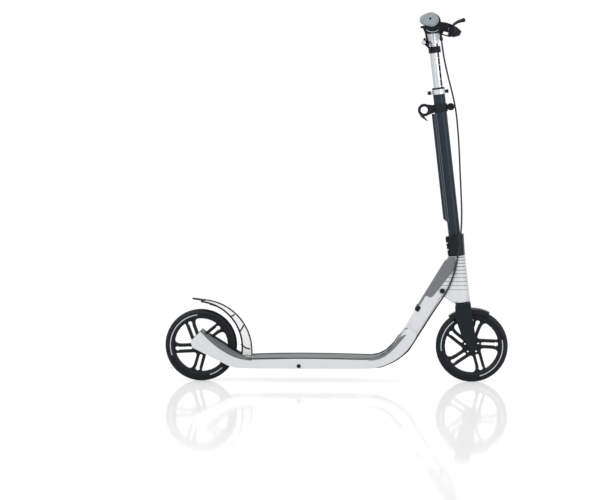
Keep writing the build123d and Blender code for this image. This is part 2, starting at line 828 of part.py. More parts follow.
def carry_hook():
    top = hook_low + hook_height
    band = upright(stem_radius + 3, hook_low, top)
    ring = disc(-ring_back, ring_up, ring_outer)
    arm = outline([
        (-ring_back + 4, ring_up + ring_outer - 1.5),
        (-10, top - 3),
        (-10, hook_low + 3),
        (-ring_back + 6, ring_up - ring_outer + 1.5),
    ], [0, 0, 0, 0])
    tail = outline([
        (-ring_back - ring_outer + 2, ring_up - 3),
        (-ring_back - ring_outer + 6, ring_up - 18),
        (-ring_back + 5.2, ring_up - 32.5),
        (-ring_back + 6.8, ring_up - 30.5),
        (-ring_back - 4, ring_up - 15),
        (-ring_back, ring_up),
    ], [0, 14, 1, 1, 6, 0])
    plate = slab(ring + arm + tail, -hook_half, hook_half)
    eye = slab(disc(29.1, ring_up + 1.1, 10.5) + Pos(18, ring_up + 1.1) * Rectangle(16, 13), -6, 6)
    body = band + plate + eye
    body -= upright(stem_radius, hook_low - 5, top + 5)
    body -= slab(disc(-ring_back, ring_up, ring_hole), -10, 10)
    body -= block(12, 50, -1, 1, hook_low - 5, top + 5)
    body -= rod(29.1, ring_up + 1.1, 2.6, -10, 10)
    return on_stem(body)


def hook_screw():
    x, z = 29.1, ring_up + 1.1
    screw = rod(x, z, 2.6, -6, 6) + rod(x, z, 4.6, -8.8, -6) + rod(x, z, 4.4, 6, 8.4)
    return on_stem(screw - slab(Pos(x, z) * RegularPolygon(2.3, 6), -10, -7))


def height_collar():
    top = collar_low + collar_height
    band = upright(stem_radius + collar_wall, collar_low, top)
    ears = slab(Pos(-23.5, collar_low + 6) * Rectangle(19, 12), -8, 8)
    ears = fillet(ears.edges().filter_by(Axis.Y).sort_by(Axis.X)[:2], 4)
    body = band + ears
    body -= upright(stem_radius, collar_low - 5, top + 5)
    body -= block(-50, -14, -1.8, 1.8, collar_low - 10, top + 5)
    body -= rod(-26.5, collar_low + 6, 2.5, -20, 20)
    body -= Pos(stem_radius, 0, collar_low + 6) * Rot(0, 90, 0) * Cylinder(4.3, 30)
    return on_stem(body)


def collar_skewer():
    z = collar_low + 6
    body = rod(-26.5, z, 2.5, -8, 13.4) + rod(-26.5, z, 5, -12, -8)
    return on_stem(body)


def height_lever():
    """A cam lever on the far end of the collar's skewer, lying forward along the column."""
    z = collar_low + 6
    cam = upright(6, z - 6, z + 6, -26.5, 20)
    blade = outline([(-30, 18), (0, 19.5), (27, 20.5), (31, 25), (0, 25)], [0, 40, 2, 1.5, 60])
    arm = Pos(0, 0, z - 5) * extrude(blade, amount=10)
    return on_stem(cam + arm)


def height_lever_pivot():
    place = stem.from_local_coords((-26.5, 20, collar_low + 6))
    return place.to_tuple()


def height_button():
    z = collar_low + 6
    shank = Pos(stem_radius + 3.8, 0, z) * Rot(0, 90, 0) * Cylinder(4.2, 6.2)
    cap = Pos(stem_radius + 8.2, 0, z) * Rot(0, 90, 0) * Cylinder(5.4, 4.8)
    return on_stem(shank + fillet(cap.edges().filter_by(GeomType.CIRCLE), 1))


def tube_shim():
    inner = bar_tube_radius + running_fit
    body = sleeve(inner, stem_bore - 0.02, stem_top - 55, stem_top + 1)
    body += sleeve(inner, stem_radius + 0.8, stem_top + 1, stem_top + 1 + lid_height)
    return on_stem(body)


# ---------------------------------------------------------------- T-bar

clamp_foot = bar_up - 34
skewer_back = -26
skewer_up = bar_up - 56
bar_end = (bar_forward - bar_sweep, bar_half, bar_up - bar_drop)
bar_bend = (bar_forward, bar_straight, bar_up)


def bar_tube():
    return on_stem(sleeve(bar_tube_radius - bar_tube_wall, bar_tube_radius, bar_tube_low, bar_up - 48))


def bar_collar():
    body = sleeve(bar_tube_radius, bar_tube_radius + 2.6, collar_foot, collar_foot + 18)
    nose = block(8, 18.5, -7, 7, collar_foot, collar_foot + 18)
    nose = fillet(nose.edges().filter_by(Axis.Z).sort_by(Axis.X)[-2:], 4)
    return on_stem(body + (nose - upright(bar_tube_radius, collar_foot - 9, collar_foot + 30)))


def bar_head():
    foot = upright(16.5, bar_up - 61, clamp_foot)
    throat = outline([
        (-13, bar_up - 55),
        (17, bar_up - 55),
        (26, clamp_foot),
        (-12, clamp_foot),
    ], [4, 6, 0, 0])
    body = foot + slab(throat, -15, 15)
    lug = Pos(-20, 0, skewer_up) * Box(20, 9.6, 11)
    body += fillet(lug.edges().filter_by(Axis.Y).sort_by(Axis.X)[:2], 4)
    body -= upright(bar_tube_radius, bar_up - 80, bar_up - 48)
    body -= block(-40, -10, -1.2, 1.2, skewer_up - 12, skewer_up + 12)
    body -= rod(skewer_back, skewer_up, 2.5, -30, 30)
    return on_stem(body)


def bar_clamp():
    """The black split clamp on top of the head that grips the bar."""
    body = rod(bar_forward, bar_up, bar_clamp_radius, -bar_clamp_half, bar_clamp_half)
    saddle = outline([
        (-17.5, bar_up),
        (-21, bar_up - 14),
        (-15, clamp_foot),
        (26, clamp_foot),
        (28, bar_up - 20),
        (27, bar_up),
    ], [0, 3, 3, 2, 5, 0])
    body += slab(saddle, -bar_clamp_half, bar_clamp_half)
    ends = body.faces().filter_by(Axis.Y).sort_by(Axis.Y)
    body = fillet(ends[0].outer_wire().edges() + ends[-1].outer_wire().edges(), 1.5)
    body -= block(-40, bar_forward, -40, 40, bar_up - 1, bar_up + 1)
    for side in (-1, 1):
        body -= rear_screw(side, 0)
    return on_stem(body - bar_core(bar_radius))


def rear_screw(side, extra):
    """A screw that comes out of the clamp's rear face, on one side of the middle."""
    height = bar_up - 13
    shank = Pos(-19, side * 12, height) * Rot(0, 90, 0) * Cylinder(2.1, 14)
    if not extra:
        return shank
    head = Pos(-27.5, side * 12, height) * Rot(0, 90, 0) * Cylinder(3.2, extra)
    key = Pos(-30.4, side * 12, height) * Rot(0, 90, 0) * extrude(RegularPolygon(1.6, 6), amount=2)
    return shank + head - key


def clamp_screws():
    """The two screws that pull the bar clamp shut."""
    pair = [on_stem(rear_screw(side, 6)) for side in (-1, 1)]
    return Compound(children=pair)


def bar_skewer():
    """The clamp bolt of the head, with a nut on the far side and a round knob on the near side."""
    x, z = skewer_back, skewer_up
    knob = rod(x, z, 5.6, -25, -21)
    knob = fillet(knob.edges().filter_by(GeomType.CIRCLE), 1.2)
    return on_stem(rod(x, z, 2.5, -21, 5) + knob + rod(x, z, 4.6, 5, 8))


def bar_lever():
    """The quick-release lever beside the bar's head: a cam on the skewer and a bent arm that hangs down."""
    x, z = skewer_back, skewer_up
    cam = rod(x, z, 6.4, -20.8, -5.2)
    arm = outline([
        (x - 4, z + 2),
        (x + 1, z + 13),
        (x + 5, z + 12),
        (x + 6, z - 1),
        (x + 19, z - 21),
        (x + 15.5, z - 24),
        (x - 1, z - 5),
    ], [3, 2, 2, 10, 1.5, 1.5, 8])
    return on_stem(cam + slab(arm, -20.8, -17.2) - rod(x, z, 2.5 + running_fit, -40, 20))


def bar_core(radius):
    """The whole bent bar as a solid of some radius."""
    points = [
        (bar_end[0], -bar_end[1], bar_end[2]),
        (bar_bend[0], -bar_bend[1], bar_bend[2]),
        bar_bend,
        bar_end,
    ]
    path = FilletPolyline(*points, radius=[120, 120])
    start = Plane(origin=path @ 0, z_dir=path % 0)
    return sweep(start * Circle(radius), path=path)


def handlebar():
    return on_stem(bar_core(bar_radius) - bar_core(bar_radius - bar_wall))


def bar_station(distance):
    """A plane across the right half of the bar, at a distance from its middle, facing outwards."""
    share = (distance - bar_straight) / (bar_half - bar_straight)
    origin = (
        bar_forward - bar_sweep * share,
        -distance,
        bar_up - bar_drop * share,
    )
    outward = (-bar_sweep, -(bar_half - bar_straight), -bar_drop)
    return Plane(origin=origin, x_dir=(1, -bar_sweep / (bar_half - bar_straight), 0), z_dir=outward)


def right_grip():
    """A rubber grip with a palm rest behind, an inner flange and a closed outer end."""
    start = bar_half + 3 - grip_length
    front = Pos(2.5, -1) * Circle(grip_radius + 1.8)
    back = Pos(-9.5, -0.5) * Circle(grip_radius - 1)
    palm = make_hull(front.edges() + back.edges())
    body = extrude(Circle(grip_radius), amount=grip_length)
    rest = Pos(0, 0, 44) * extrude(palm, amount=grip_length - 44)
    rest = fillet(rest.edges().filter_by(lambda e: abs((e @ 0).Z - (e @ 1).Z) < 0.01), 4)
    body += rest
    body += extrude(Circle(grip_flange), amount=4)
    body -= extrude(Circle(3), amount=grip_length + 5)
    return on_stem(bar_station(start).location * body - bar_core(bar_radius))


def left_grip():
    return mirror(right_grip(), about=Plane.XZ)


# ---------------------------------------------------------------- hand brake

lever_eye_room = 9.5
lever_home = bar_station(lever_station)
pitch = radians(brake_pitch)
brake = Plane(
    origin=lever_home.origin,
    x_dir=(cos(pitch), 0, -sin(pitch)),
    z_dir=(sin(pitch), 0, cos(pitch)),
)


def on_brake(part):
    return on_stem(brake.location * part)


def brake_bracket():
    """Clamp band, body and lever fork of the hand brake, with the cable's seat on a lower rim."""
    body_side = outline([
        (6, -11),
        (lever_reach - 20, -13.5),
        (lever_reach + 2, -9),
        (lever_reach + 10, -3),
        (lever_reach + 10, 10),
        (lever_reach, 15.5),
        (lever_reach - 22, 12.5),
        (22, 7),
        (6, 10),
    ], [0, 4, 6, 4, 4, 8, 8, 6, 0])
    rim_side = outline([
        (lever_reach - 21, -25),
        (lever_reach + 7, -19),
        (lever_reach + 8, -4),
        (lever_reach - 3, -7),
        (lever_reach + 1, -15.8),
        (lever_reach - 21, -21.5),
    ], [1, 4, 0, 0, 3, 0])
    body = rod(0, 0, 15.5, -9, 9) + slab(body_side, -8.7, 8.7) + slab(rim_side, -8.7, 8.7)
    body += slab(outline([
        (lever_reach - 28, -25),
        (lever_reach - 17, -24),
        (lever_reach - 17, -11),
        (lever_reach - 28, -11),
    ], [2, 2, 0, 0]), 6, 31)
    body -= block(-30, -8, -20, 20, -1.2, 1.2)
    keep_out = upright(60, -20, 40, lever_reach, 0) - upright(lever_eye_room - 0.5, -30, 50, lever_reach, 0)
    body -= keep_out & block(lever_reach, 120, -60, 60, -40, 60)
    body -= upright(lever_eye_room + 3, -4.2, 4.2, lever_reach, 0)
    body -= block(lever_reach - 8, 120, -40, 40, -4.2, 4.2)
    body -= block(lever_reach - 18, lever_reach + 5, 4, 40, -4.2, 4.2)
    body -= upright(2.5, -20, 20, lever_reach, 0)
    return on_brake(body) - on_stem(bar_core(bar_radius))


def lever_pin():
    return on_brake(upright(2.5, -12, 16.2, lever_reach, 0))


def brake_lever():
    """The hand lever: an eye on its pin, a horn for the cable, a thick root and a long curved blade."""
    eye = upright(lever_eye_room - 1, -4, 4, lever_reach, 0)
    horn = Pos(lever_reach, 9, 0) * Box(8, 12, 8)
    root_plan = extrude(outline([
        (lever_reach - 1, -17),
        (lever_reach + 16, -19),
        (lever_reach + 28, -4),
        (lever_reach + 27, 8),
        (lever_reach + 12, 13),
        (lever_reach + 2, 8),
    ], [2, 8, 8, 6, 6, 2]), amount=60, both=True)
    root_side = slab(outline([
        (lever_reach - 1, -15),
        (lever_reach + 14, -16),
        (lever_reach + 28, -3),
        (lever_reach + 29, 9),
        (lever_reach + 10, 14.5),
        (lever_reach - 1, 14.5),
    ], [0, 6, 6, 5, 8, 0]), -60, 60)
    root = (root_plan & root_side) - upright(lever_eye_room, -40, 40, lever_reach, 0)
    bridge = block(lever_reach, lever_reach + lever_eye_room + 4, -6, 6, -4, 4)
    path = FilletPolyline(
        (lever_reach + 12, -13, 5),
        (lever_reach + 8, -28, 12),
        (lever_reach + 7, -62, 23),
        (lever_reach + 12, -88, 36),
        (lever_reach + 22, -104, 47),
        radius=[10, 60, 40],
    )
    section = Plane(origin=path @ 0, x_dir=(0, 0, 1), z_dir=path % 0) * Ellipse(6.5, 3.4)
    blade = sweep(section, path=path, transition=Transition.RIGHT)
    tip = Pos(*(path @ 1).to_tuple()) * Sphere(6)
    body = eye + horn + bridge + root + blade + tip
    body -= upright(2.5 + running_fit, -20, 20, lever_reach, 0)
    return on_brake(body)


def lever_pivot():
    place = stem.from_local_coords(brake.from_local_coords((lever_reach, 0, 0)))
    return place.to_tuple()


def barrel_adjuster():
    """The threaded barrel that the cable leaves the brake bracket through."""
    top, bottom = column_points()[0], column_points()[1]
    run = (Vector(*bottom) - Vector(*top)).normalized()
    barrel = Plane(origin=top, z_dir=run) * Cylinder(
        4.6, 9, align=(Align.CENTER, Align.CENTER, Align.MAX))
    neck = Plane(origin=top, z_dir=run) * Pos(0, 0, -9) * Cylinder(
        3, 9, align=(Align.CENTER, Align.CENTER, Align.MAX))
    return on_stem(barrel + neck)


# ---------------------------------------------------------------- brake cable


def column_points():
    """Corners from the adjuster on the bar to the head clamp, in the column's frame."""
    return [
        (22.5, cable_top_y, bar_up - 56),
        (23.2, cable_top_y + 1.5, bar_up - 86),
        (25.4, cable_top_y + 10, bar_up - 119),
        (30.5, -50, 505),
        (37, -35, 462),
        (42.2, -22, 415),
        (42.4, -14, 360),
        (39.5, -10, 296),
        (35.2, -8.5, 236),
        (31.6, -9, 176),
        (27.6, -11.5, 122),
        (22.3, -15.2, 82),
        (15.2, -21.2, 46),
    ]


def head_points():
    """Corners round the right side of the head, in the column's frame."""
    side = -head_radius - cable_radius - cable_gap
    return [
        (6.8, side + 0.4, 16),
        (-1.2, side - 0.6, -14),
        (-11.5, side + 0.2, -44),
    ]


def neck_cable_point(along, ahead, y):
    x, z = neck_point(along, ahead)
    return (x, y, z)


def neck_points():
    """Corners down the neck's right side and along its lower front face."""
    side = -neck_half - cable_radius - cable_gap
    return [
        neck_cable_point(203, 3.6, side),
        neck_cable_point(174, 8.4, side),
        neck_cable_point(146, 8, side + 0.2),
        neck_cable_point(119, cable_line + 0.2, -21.4),
        neck_cable_point(88, cable_line, -18.8),
        neck_cable_point(52, cable_line + 0.1, -18.5),
        neck_cable_point(10, cable_line, -18.4),
    ]


def under_curve(angle, half_turn, drop=0):
    """A corner of the cable's route round the front curve of the deck."""
    corner_x = sloped_at(deck_bottom, front_edge)[0]
    centre_x = corner_x - front_curve * tan(slope / 2)
    centre_z = deck_bottom + front_curve
    reach = (front_curve + cable_radius + cable_gap - drop) / cos(radians(half_turn))
    return (centre_x + reach * sin(radians(angle)), -18.5, centre_z - reach * cos(radians(angle)))


def deck_points():
    """Corners round the front curve, into the middle channel and back to the fender's arm."""
    return [
        under_curve(front_slope - 9.5, 9.5),
        under_curve(front_slope - 28, 9),
        under_curve(front_slope - 46.4, 9),
        (fold_x - 124, -18.5, deck_bottom + 2.6),
        (pocket_end - 14, -18, deck_bottom + 6.2),
        (pocket_end - 70, -17, deck_bottom + 6.5),
        (pocket_end - 130, -13, deck_bottom + 6.4),
        (pocket_end - 190, -6, deck_bottom + 6.5),
        (pocket_end - 240, -0.6, deck_bottom + 6.5),
        (foot_x + 30, 0, deck_bottom + 6.5),
    ]


def cable_route():
    """Every corner of the brake cable, from the adjuster on the bar to the fender."""
    column = [stem.from_local_coords(p).to_tuple() for p in column_points() + head_points()]
    return column + neck_points() + deck_points()


def cable_part(first, last):
    """The cable between the middles of two runs, each counted from the cable's top."""
    route = cable_route()
    points = route[first + 1:last + 1]
    start = middle_of(route[first], route[first + 1]) if first >= 0 else route[0]
    end = middle_of(route[last], route[last + 1]) if last < len(route) - 1 else route[-1]
    if first < 0:
        points = points[1:]
    if last == len(route) - 1:
        points = points[:-1]
    return cord([start, *points, end])


clamp_run = len(column_points()) - 2
neck_run = clamp_run + len(head_points()) + 3
fold_run = neck_run + len(neck_points()) - 2

# ---------------------------------------------------------------- write the parts

nodes = {
    "deck_frame": deck_frame(),
    "grip_mat": grip_mat(),
    "rear_axle": rear_axle(),
    "rear_spacers": spacer_set(rear_x, rear_slot_half),
    "fold_bolt": fold_bolt(),
    "fender_pin": fender_pin(),
    "kickstand_bolt": kickstand_bolt(),
    "cable_deck": cable_part(fold_run, len(cable_route()) - 1),
    "rear_tyre": tyre(rear_x),
    "rear_rim": rim(rear_x, rear_spoke_turn),
    "rear_bearings": bearing_pair(rear_x),
    "fender": fender(),
    "fender_catch": fender_catch(),
    "brake_pad": brake_pad(),
    "kickstand": kickstand(),
    "kickstand_foot": kickstand_foot(),
    "neck_frame": neck_frame(),
    "neck_cover": neck_cover(),
    "neck_buffer": neck_buffer(),
    "headset_bearings": headset_bearings(),
    "fold_bushes": fold_bushes(),
    "cable_fold": cable_part(neck_run, fold_run),
    "cable_head": cable_part(clamp_run, neck_run),
    "fold_button": fold_button(),
    "fork": fork(),
    "front_mudguard": front_mudguard(),
    "front_axle": front_axle(),
    "front_axle_nut": front_axle_nut(),
    "front_spacers": spacer_set(front_x, fork_gap_half),
    "stem_tube": stem_tube(),
    "stem_fairing": stem_fairing(),
    "head_clamp": head_clamp(),
    "clamp_bolts": clamp_bolts(),
    "carry_hook": carry_hook(),
    "hook_screw": hook_screw(),
    "height_collar": height_collar(),
    "collar_skewer": collar_skewer(),
    "tube_shim": tube_shim(),
    "height_lever": height_lever(),
    "height_button": height_button(),
    "front_tyre": tyre(front_x),
    "front_rim": rim(front_x, front_spoke_turn),
    "front_bearings": bearing_pair(front_x),
    "bar_tube": bar_tube(),
    "bar_collar": bar_collar(),
    "bar_head": bar_head(),
    "bar_clamp": bar_clamp(),
    "clamp_screws": clamp_screws(),
    "bar_skewer": bar_skewer(),
    "bar_lever": bar_lever(),
    "handlebar": handlebar(),
    "grip_right": right_grip(),
    "grip_left": left_grip(),
    "brake_bracket": brake_bracket(),
    "lever_pin": lever_pin(),
    "barrel_adjuster": barrel_adjuster(),
    "cable_upper": cable_part(-1, clamp_run),
    "brake_lever": brake_lever(),
}

for name, part in nodes.items():
    export_step(part, f"parts/{name}.step")
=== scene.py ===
import json
from math import cos, pi, radians, sin, tan

import bmesh
import bpy
from bpy.props import FloatProperty, FloatVectorProperty, IntProperty, PointerProperty
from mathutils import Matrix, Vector
from mathutils.geometry import intersect_line_line_2d


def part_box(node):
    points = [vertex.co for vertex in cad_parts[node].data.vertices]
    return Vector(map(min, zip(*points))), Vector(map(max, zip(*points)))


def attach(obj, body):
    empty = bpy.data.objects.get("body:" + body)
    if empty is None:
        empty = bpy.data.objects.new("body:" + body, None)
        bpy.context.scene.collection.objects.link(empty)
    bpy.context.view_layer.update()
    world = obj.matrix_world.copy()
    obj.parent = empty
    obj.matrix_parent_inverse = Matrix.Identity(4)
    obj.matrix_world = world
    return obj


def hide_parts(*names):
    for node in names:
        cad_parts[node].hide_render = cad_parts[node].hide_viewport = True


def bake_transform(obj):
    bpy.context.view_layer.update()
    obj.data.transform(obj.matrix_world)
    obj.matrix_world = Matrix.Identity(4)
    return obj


bl_info = {
    "name": "Kick Scooter Dresser",
    "version": (1, 0, 0),
    "blender": (4, 5, 0),
    "location": "View3D > Sidebar > Scooter",
    "description": "Finishes for a folding kick scooter and the small forms around its frame",
    "category": "Object",
}

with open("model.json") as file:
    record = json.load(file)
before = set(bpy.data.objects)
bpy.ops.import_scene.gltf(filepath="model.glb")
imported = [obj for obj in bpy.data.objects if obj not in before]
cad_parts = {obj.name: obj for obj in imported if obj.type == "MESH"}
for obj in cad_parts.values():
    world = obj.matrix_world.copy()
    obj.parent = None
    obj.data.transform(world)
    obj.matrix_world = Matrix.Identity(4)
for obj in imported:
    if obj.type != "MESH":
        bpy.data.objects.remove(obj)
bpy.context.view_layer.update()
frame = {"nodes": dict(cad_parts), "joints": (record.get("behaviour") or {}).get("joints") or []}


def middle(node):
    """The middle of a frame node's box, at rest."""
    low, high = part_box(node)
    return (low + high) / 2


def extent(node):
    """The size of a frame node's box, at rest."""
    low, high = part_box(node)
    return high - low


def joint(name):
    """The foot and the direction of a joint of the frame."""
    found = next(j for j in frame["joints"] if j["name"] == name)
    return Vector(found["pos_m"]), Vector(found["axis"]).normalized()


COLUMN_FOOT, COLUMN_UP = joint("steering")
COLUMN_AHEAD = Vector((COLUMN_UP.z, 0, -COLUMN_UP.x))
FOLD = joint("fold")[0]
NECK_SLOPE = radians(57.8)
NECK_ALONG = Vector((cos(NECK_SLOPE), 0, sin(NECK_SLOPE)))
NECK_AHEAD = Vector((sin(NECK_SLOPE), 0, -cos(NECK_SLOPE)))
ACROSS = Vector((0, 1, 0))


def on_column(ahead, across, up):
    """A place given in millimetres along the steering column's own directions."""
    return COLUMN_FOOT + (COLUMN_AHEAD * ahead + ACROSS * across + COLUMN_UP * up) / 1000


def on_neck(along, ahead, across):
    """A place given in millimetres along the neck, counted from the fold."""
    return FOLD + (NECK_ALONG * along + NECK_AHEAD * ahead + ACROSS * across) / 1000


# ---------------------------------------------------------------- sizes and colours


def size(name, note, default):
    return FloatProperty(name=name, description=note, default=default, subtype="DISTANCE", unit="LENGTH")


def colour(name, note, default):
    return FloatVectorProperty(name=name, description=note, default=default, subtype="COLOR", min=0, max=1)


class ScooterSizes(bpy.types.PropertyGroup):
    """Sizes of the forms that are added to the frame."""

    cable_radius: size("Cable radius", "Half the thickness of the brake cable", 0.0025)
    tread_groove: size("Tread groove", "Depth of the two grooves round each tyre", 0.0008)
    arc_radius: size("Arc radius", "Radius of the pale arcs round each rim", 0.0876)
    mat_grain: size("Mat grain", "Distance between the grains of the deck's grip mat", 0.0016)
    eye_height: size("Camera height", "Height of the camera above the floor", 1.0)
    eye_distance: size("Camera distance", "Distance from the camera to the scooter's centre plane", 7.5)
    eye_forward: size("Camera place", "How far forward of the scooter's middle the camera stands", 0.16)
    view_width: size("View width", "Width that the camera shows at the scooter's centre plane", 1.708)
    spin_steps: IntProperty(name="Ring steps", description="Faces round a turned ring", default=120, min=12)


class ScooterColours(bpy.types.PropertyGroup):
    """Colours of the finishes."""

    white_paint: colour("White paint", "Deck and neck", (0.74, 0.765, 0.77))
    pinstripe: colour("Pinstripe", "Fine grey lines on the side of the head", (0.30, 0.32, 0.33))
    mat_grey: colour("Mat grey", "Grip mat and neck cover", (0.185, 0.198, 0.2))
    # Painted highlight: the pale arcs stand for light caught by the rims' lips
    painted_rim_highlight: colour("Pale print", "Thin arcs round the rims", (0.56, 0.6, 0.62))
    panel_white: colour("Panel white", "Side panels and top of the fender", (0.93, 0.95, 0.95))
    pad_grey: colour("Pad grey", "Pads on the rear arms", (0.15, 0.165, 0.165))
    tyre_black: colour("Tyre black", "Tyres, rubber edges and the fender's dark lip", (0.007, 0.011, 0.013))
    nylon_black: colour("Nylon black", "Rims, catches and small black parts", (0.008, 0.011, 0.013))
    fork_black: colour("Fork black", "Painted fork, clamp and brake", (0.006, 0.0105, 0.0145))
    column_blue_black: colour("Column paint", "Painted steering column", (0.016, 0.028, 0.042))
    aluminium: colour("Aluminium", "Bright tubes, bar and collar", (0.66, 0.7, 0.725))
    steel: colour("Steel", "Bolts, axles and bearings", (0.55, 0.57, 0.59))
    grip_grey: colour("Grip rubber", "Soft rubber of the hand grips", (0.3, 0.35, 0.37))
    floor: colour("Floor", "Pale studio floor", (0.88, 0.88, 0.88))


def sizes():
    return bpy.context.scene.scooter_sizes


def colours():
    return bpy.context.scene.scooter_colours


# ---------------------------------------------------------------- finishes


class Finish:
    """A procedural material that grows node by node."""

    def __init__(self, name, **sockets):
        self.material = bpy.data.materials.new(name)
        self.material.use_nodes = True
        self.nodes = self.material.node_tree.nodes
        self.links = self.material.node_tree.links
        self.shader = self.nodes["Principled BSDF"]
        for socket, value in sockets.items():
            self.shader.inputs[socket.replace("_", " ")].default_value = value
        self.place = self.add("ShaderNodeTexCoord").outputs["Object"]
        self.height = None

    def add(self, kind, sockets=None, **settings):
        node = self.nodes.new(kind)
        for name, value in settings.items():
            setattr(node, name, value)
        for name, value in (sockets or {}).items():
            if isinstance(value, bpy.types.NodeSocket):
                self.links.new(value, node.inputs[name])
            else:
                node.inputs[name].default_value = value
        return node

    def stretched(self, scale):
        return self.add("ShaderNodeMapping", {"Vector": self.place, "Scale": scale}).outputs["Vector"]

    def noise(self, scale, detail=3, where=None):
        sockets = {"Vector": where or self.place, "Scale": scale, "Detail": detail, "Roughness": 0.6}
        return self.add("ShaderNodeTexNoise", sockets).outputs["Fac"]

    def math(self, operation, a, b=0.0, c=0.0):
        return self.add("ShaderNodeMath", {0: a, 1: b, 2: c}, operation=operation).outputs[0]

    def between(self, value, low, high):
        """1 where a value lies between two limits, and 0 elsewhere."""
        above = self.math("GREATER_THAN", value, low)
        below = self.math("LESS_THAN", value, high)
        return self.math("MULTIPLY", above, below)

    def spread(self, value, low, high):
        node = self.add("ShaderNodeMapRange", {"Value": value, "To Min": low, "To Max": high})
        return node.outputs["Result"]

    def paint(self, base, marks=(), mottle=0.05, scale=9):
        """A base colour that drifts a little, with other colours laid over it by masks."""
        dark = [c * (1 - mottle) for c in base] + [1]
        light = [min(1, c * (1 + mottle)) for c in base] + [1]
        ramp = self.add("ShaderNodeMix", {0: self.noise(scale), 6: dark, 7: light}, data_type="RGBA")
        current = ramp.outputs[2]
        for mask, over in marks:
            node = self.add("ShaderNodeMix", {0: mask, 6: current, 7: list(over) + [1]}, data_type="RGBA")
            current = node.outputs[2]
        self.links.new(current, self.shader.inputs["Base Color"])
        return self

    def gloss(self, low, high):
        """A roughness that drifts between two limits."""
        drift = self.spread(self.noise(40, 4), low, high)
        self.links.new(drift, self.shader.inputs["Roughness"])
        return self

    def bump(self, height, distance, strength=1.0):
        node = self.add("ShaderNodeBump", {"Height": height, "Distance": distance, "Strength": strength})
        if self.height is not None:
            self.links.new(self.height, node.inputs["Normal"])
        self.height = node.outputs["Normal"]
        self.links.new(self.height, self.shader.inputs["Normal"])
        return self

    def axes(self):
        split = self.add("ShaderNodeSeparateXYZ", {"Vector": self.place})
        return split.outputs["X"], split.outputs["Y"], split.outputs["Z"]


def white_paint(name, base=None):
    finish = Finish(name, Coat_Weight=0.25, Coat_Roughness=0.18, Specular_IOR_Level=0.45)
    finish.paint(base or colours().white_paint, mottle=0.018, scale=7).gloss(0.3, 0.42)
    return finish.bump(finish.noise(900, 2), 0.00006, 0.5)


def grained(name, base, grain=0.0007, rough=(0.45, 0.62), mottle=0.12, shine=0.22):
    """Moulded plastic or rubber with a fine even grain."""
    finish = Finish(name, Specular_IOR_Level=shine)
    finish.paint(base, mottle=mottle, scale=14).gloss(*rough)
    return finish.bump(finish.noise(1 / grain, 3), 0.00018, 0.6)


def smooth_black(name, base, rough=(0.28, 0.4)):
    """Sprayed satin paint with a thin clear coat."""
    finish = Finish(name, Specular_IOR_Level=0.18, Coat_Weight=0.06, Coat_Roughness=0.12)
    finish.paint(base, mottle=0.08, scale=11).gloss(*rough)
    return finish.bump(finish.noise(700, 2), 0.00005, 0.5)


def brushed(name, base):
    """Bright metal with fine level brushing."""
    finish = Finish(name, Metallic=1.0)
    finish.paint(base, mottle=0.03, scale=12)
    lines = finish.noise(1, 4, finish.stretched((30, 30, 900)))
    finish.links.new(finish.spread(lines, 0.32, 0.46), finish.shader.inputs["Roughness"])
    return finish.bump(lines, 0.00004, 0.5)


def column_ahead(finish):
    """How far a point lies ahead of the steering axis, as a texture value."""
    x, _, z = finish.axes()
    along_x = finish.math("MULTIPLY", finish.math("SUBTRACT", x, COLUMN_FOOT.x), COLUMN_AHEAD.x)
    along_z = finish.math("MULTIPLY", finish.math("SUBTRACT", z, COLUMN_FOOT.z), COLUMN_AHEAD.z)
    return finish.math("ADD", along_x, along_z)


def dress(node, finish, edge=None):
    """Give a frame node its finish, and its upright side faces another one if there is one."""
    mesh = frame["nodes"][node].data
    mesh.materials.clear()
    mesh.materials.append(finish.material)
    if edge:
        mesh.materials.append(edge.material)
    for face in mesh.polygons:
        face.material_index = 1 if edge and abs(face.normal.y) > 0.7 else 0


# ---------------------------------------------------------------- making pieces


def finished(name, shape, finish, body, replaced=(), smooth=35):
    """Turn a bmesh into a piece that rides on a body."""
    mesh = bpy.data.meshes.new(name)
    bmesh.ops.recalc_face_normals(shape, faces=shape.faces)
    shape.to_mesh(mesh)
    shape.free()
    piece = bpy.data.objects.new(name, mesh)
    bpy.context.scene.collection.objects.link(piece)
    mesh.materials.append(finish.material)
    mesh.shade_smooth()
    mesh.set_sharp_from_angle(angle=radians(smooth))
    if replaced:
        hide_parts(*replaced)
    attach(piece, body)
    return piece


def turned(profile, centre, steps, closed=True):
    """Spin a side profile, given as (radius, across) pairs, round an axle along Y."""
    shape = bmesh.new()
    ring = [shape.verts.new((centre.x + r, centre.y + across, centre.z)) for r, across in profile]
    edges = [shape.edges.new(pair) for pair in zip(ring, ring[1:])]
    if closed:
        edges.append(shape.edges.new((ring[-1], ring[0])))
    bmesh.ops.spin(shape, geom=ring + edges, cent=centre, axis=(0, 1, 0), angle=2 * pi,
                   steps=steps, use_merge=True)
    bmesh.ops.remove_doubles(shape, verts=shape.verts, dist=1e-6)
    return shape


def arc_bar(rings, centre, start, end, steps=64):
    """A bar bent round an axle along Y: its section is given as (radius, across) pairs."""
    shape = bmesh.new()
    out = Vector((cos(start), 0, sin(start)))
    ring = [shape.verts.new(Vector(centre) + out * r + ACROSS * across) for r, across in rings]
    first = shape.faces.new(ring)
    bmesh.ops.spin(shape, geom=[first, *first.edges, *ring], cent=centre, axis=(0, -1, 0),
                   angle=end - start, steps=steps)
    bmesh.ops.holes_fill(shape, edges=[e for e in shape.edges if e.is_boundary], sides=len(rings))
    return shape


def plate(points, low, high):
    """A flat plate seen from the side, between two places along Y."""
    shape = bmesh.new()
    face = shape.faces.new([shape.verts.new((x, low, z)) for x, z in points])
    made = bmesh.ops.extrude_face_region(shape, geom=[face])
    moved = [v for v in made["geom"] if isinstance(v, bmesh.types.BMVert)]
    bmesh.ops.translate(shape, verts=moved, vec=(0, high - low, 0))
    return shape


